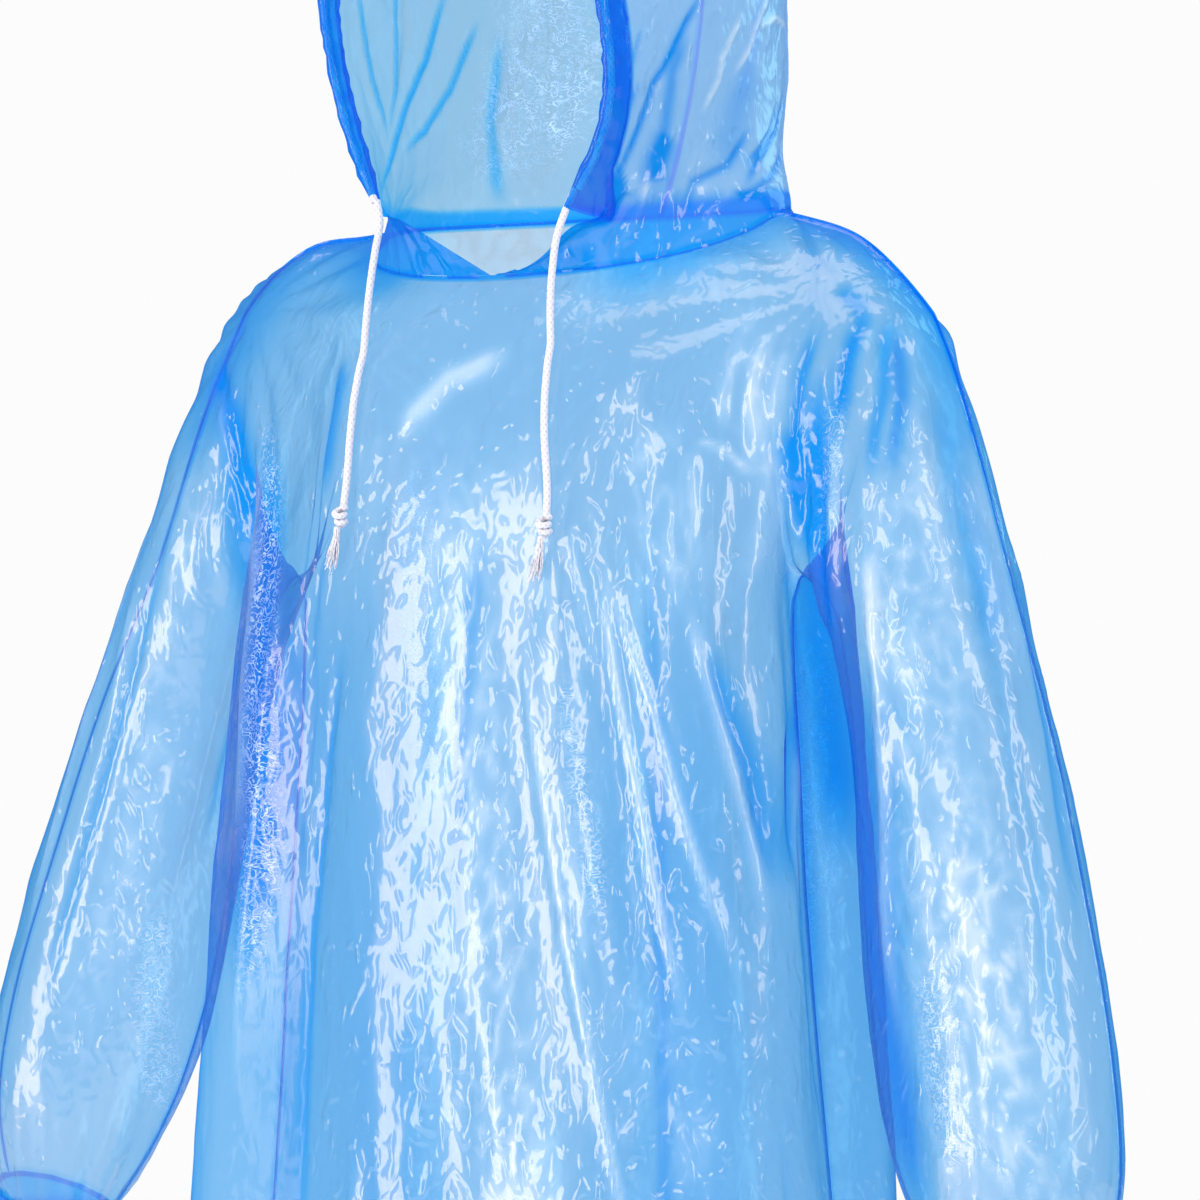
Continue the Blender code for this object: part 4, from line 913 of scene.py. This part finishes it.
def cord_exit(side):
    """Where the free cord leaves the casing: the middle of the top ring of its solid."""
    points = read_points(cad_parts[f"drawstring_end_{side}"].data)
    return points[np.argsort(-points[:, 2])[:8]].mean(axis=0)


def build_knot(side, low, high, material):
    """An overhand knot drawn tight: a loop of cord wound round the cord."""
    middle, size = (low + high) / 2, high - low
    turn = np.linspace(0, 2 * math.pi * KNOT_TURNS, 60)
    rise = np.linspace(0.40, -0.40, 60) * size[2]
    wide = 0.30 * size[:2].mean() * (1 + 0.25 * np.sin(turn * 0.5))
    tilt = 0.0016 * np.sin(turn)
    loop = middle + np.stack([wide * np.cos(turn), wide * np.sin(turn), rise + tilt], axis=-1)
    start, end = (*middle[:2], high[2]), (*middle[:2], low[2])
    path = smooth_path([start, *loop[3:-3:3], end], 0.0012)
    return add_tubes(f"knot_{side}_loops", [path], CORD_DIAMETER * 0.42, material, 3)


def build_tail(side, low, high, material):
    """The frayed end: strands that leave the knot together and flare apart."""
    top = np.array([high[0] - 0.0030, (low[1] + high[1]) / 2, high[2] - 0.0004])
    t = np.linspace(0, 1, 9)
    strands = []
    for i in range(STRANDS):
        angle = i * GOLDEN_ANGLE
        far = math.sqrt((i + 0.5) / STRANDS)
        reach = (high[2] - low[2]) * (0.84 + 0.14 * math.sin(7.3 * i))
        flare = 0.0012 + far * (0.0006 + 0.0030 * t**1.4)
        x = flare * math.cos(angle) - 0.0052 * t**1.5 + 0.0004 * np.sin(9 * t + i)
        y = flare * math.sin(angle) * 0.8
        strands.append(top + np.stack([x, y, -reach * t], axis=-1))
    return add_tubes(f"tail_{side}_strands", strands, STRAND_RADIUS, material, 1, taper=0.35)


# ---- Studio --------------------------------------------------------------------------------------------
def build_camera():
    sine, cosine = math.sin(CAMERA_AZIMUTH), math.cos(CAMERA_AZIMUTH)
    camera = bpy.data.cameras.new("camera")
    camera.sensor_width = 36
    camera.lens = CAMERA_LENS
    holder = bpy.data.objects.new("camera", camera)
    bpy.context.collection.objects.link(holder)
    x = CAMERA_DISTANCE * sine + CAMERA_ASIDE * cosine
    y = -CAMERA_DISTANCE * cosine + CAMERA_ASIDE * sine
    holder.location = (x, y, CAMERA_Z)
    holder.rotation_euler = (math.pi / 2, 0, CAMERA_AZIMUTH)
    bpy.context.scene.camera = holder


# Softboxes: azimuth and elevation in degrees, distance, width, height, power and colour
LIGHTS = (
    ("key", -28, 0, 3.2, 1.0, 2.2, 50, (1.0, 1.0, 1.0)),
    ("near", 14, 18, 3.4, 0.5, 2.4, 26, (1.0, 1.0, 1.0)),
    ("side", 84, 20, 3.0, 0.6, 2.4, 26, (0.9, 0.95, 1.0)),
    ("behind_left", 205, 20, 3.2, 1.2, 2.4, 13, (0.20, 0.58, 1.0)),
    ("behind_right", 160, 30, 3.2, 1.0, 2.0, 24, (0.20, 0.58, 1.0)),
    ("top", 0, 88, 2.6, 2.0, 2.0, 30, (1.0, 1.0, 1.0)),
)


def build_lights():
    target = Vector((0, -0.02, -0.35))
    for name, azimuth, elevation, distance, width, height, power, colour in LIGHTS:
        light = bpy.data.lights.new(name, "AREA")
        light.shape = "RECTANGLE"
        light.size, light.size_y = width, height
        light.energy = power
        light.color = colour
        lamp = bpy.data.objects.new(name, light)
        bpy.context.collection.objects.link(lamp)
        a, e = math.radians(azimuth), math.radians(elevation)
        way = Vector((math.sin(a) * math.cos(e), -math.cos(a) * math.cos(e), math.sin(e)))
        lamp.location = target + way * distance
        lamp.rotation_euler = way.to_track_quat("Z", "Y").to_euler()
        lamp.visible_camera = False


def build_world():
    """White behind the garment, pale light all round, and a dimmer blue in its reflections."""
    world = bpy.data.worlds.new("studio")
    world.use_nodes = True
    tree = world.node_tree
    tree.nodes.clear()
    path = tree.nodes.new("ShaderNodeLightPath")
    out = tree.nodes.new("ShaderNodeOutputWorld")
    below = None
    for ray, colour in (
        (None, (0.84, 0.90, 1.0)),
        ("Is Glossy Ray", (0.04, 0.20, 0.50)),
        ("Is Camera Ray", (0.975, 0.975, 0.975)),
    ):
        light = tree.nodes.new("ShaderNodeBackground")
        light.inputs["Color"].default_value = (*colour, 1)
        if below:
            mix = tree.nodes.new("ShaderNodeMixShader")
            tree.links.new(path.outputs[ray], mix.inputs[0])
            tree.links.new(below.outputs[0], mix.inputs[1])
            tree.links.new(light.outputs[0], mix.inputs[2])
            light = mix
        below = light
    tree.links.new(below.outputs[0], out.inputs[0])
    bpy.context.scene.world = world


def build_floor():
    mesh = bpy.data.meshes.new("floor")
    shape = bmesh.new()
    bmesh.ops.create_circle(shape, cap_ends=True, segments=96, radius=4.2)
    shape.to_mesh(mesh)
    shape.free()
    mesh.materials.append(floor_material())
    floor = bpy.data.objects.new("floor", mesh)
    floor.location = (0, 0, FLOOR_Z)
    bpy.context.collection.objects.link(floor)


# ---- The garment ---------------------------------------------------------------------------------------
def main():
    build_camera()
    scene = bpy.context.scene
    scene.view_settings.view_transform = "Standard"
    scene.cycles.transparent_max_bounces = 32  # enough for every layer of film that a ray may cross
    scene.cycles.diffuse_bounces = 2
    scene.cycles.glossy_bounces = 2
    cotton = cord_material()
    film = film_material(
        "blue_film",
        thin=(0.50, 0.74, 0.94),
        body=(0.24, 0.58, 0.90),
        deep=(0.0, 0.33, 0.84),
        opacity=0.06,
        filling=0.24,
        polish=1.0,
    )
    band = film_material(
        "casing_film",
        thin=(0.22, 0.70, 0.95),
        body=(0.0, 0.22, 0.80),
        deep=(0.0, 0.20, 0.76),
        opacity=0.10,
        filling=0.30,
        polish=0.5,
    )
    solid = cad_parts["front_panel"].data
    corners = [tuple(v.co) for v in solid.vertices]
    skin = BVHTree.FromPolygons(corners, [tuple(p.vertices) for p in solid.polygons])
    build_cord("left", CORD_LEFT, skin, cotton)
    build_cord("right", CORD_RIGHT, skin, cotton)
    run_piece(cotton)

    front, neck_front = panel_piece("front_panel", FRONT, film)
    back, neck_back = panel_piece("back_panel", BACK, film)
    neck = np.concatenate([neck_front, neck_back])
    hood_left = hood_piece("hood_panel_left", LEFT, neck, film)
    hood_right = hood_piece("hood_panel_right", RIGHT, neck, film)
    casing = casing_piece(band)
    cuffs = [cuff_piece(f"cuff_{side}", band) for side in ("left", "right")]

    build_lights()
    build_world()
    build_floor()


main()
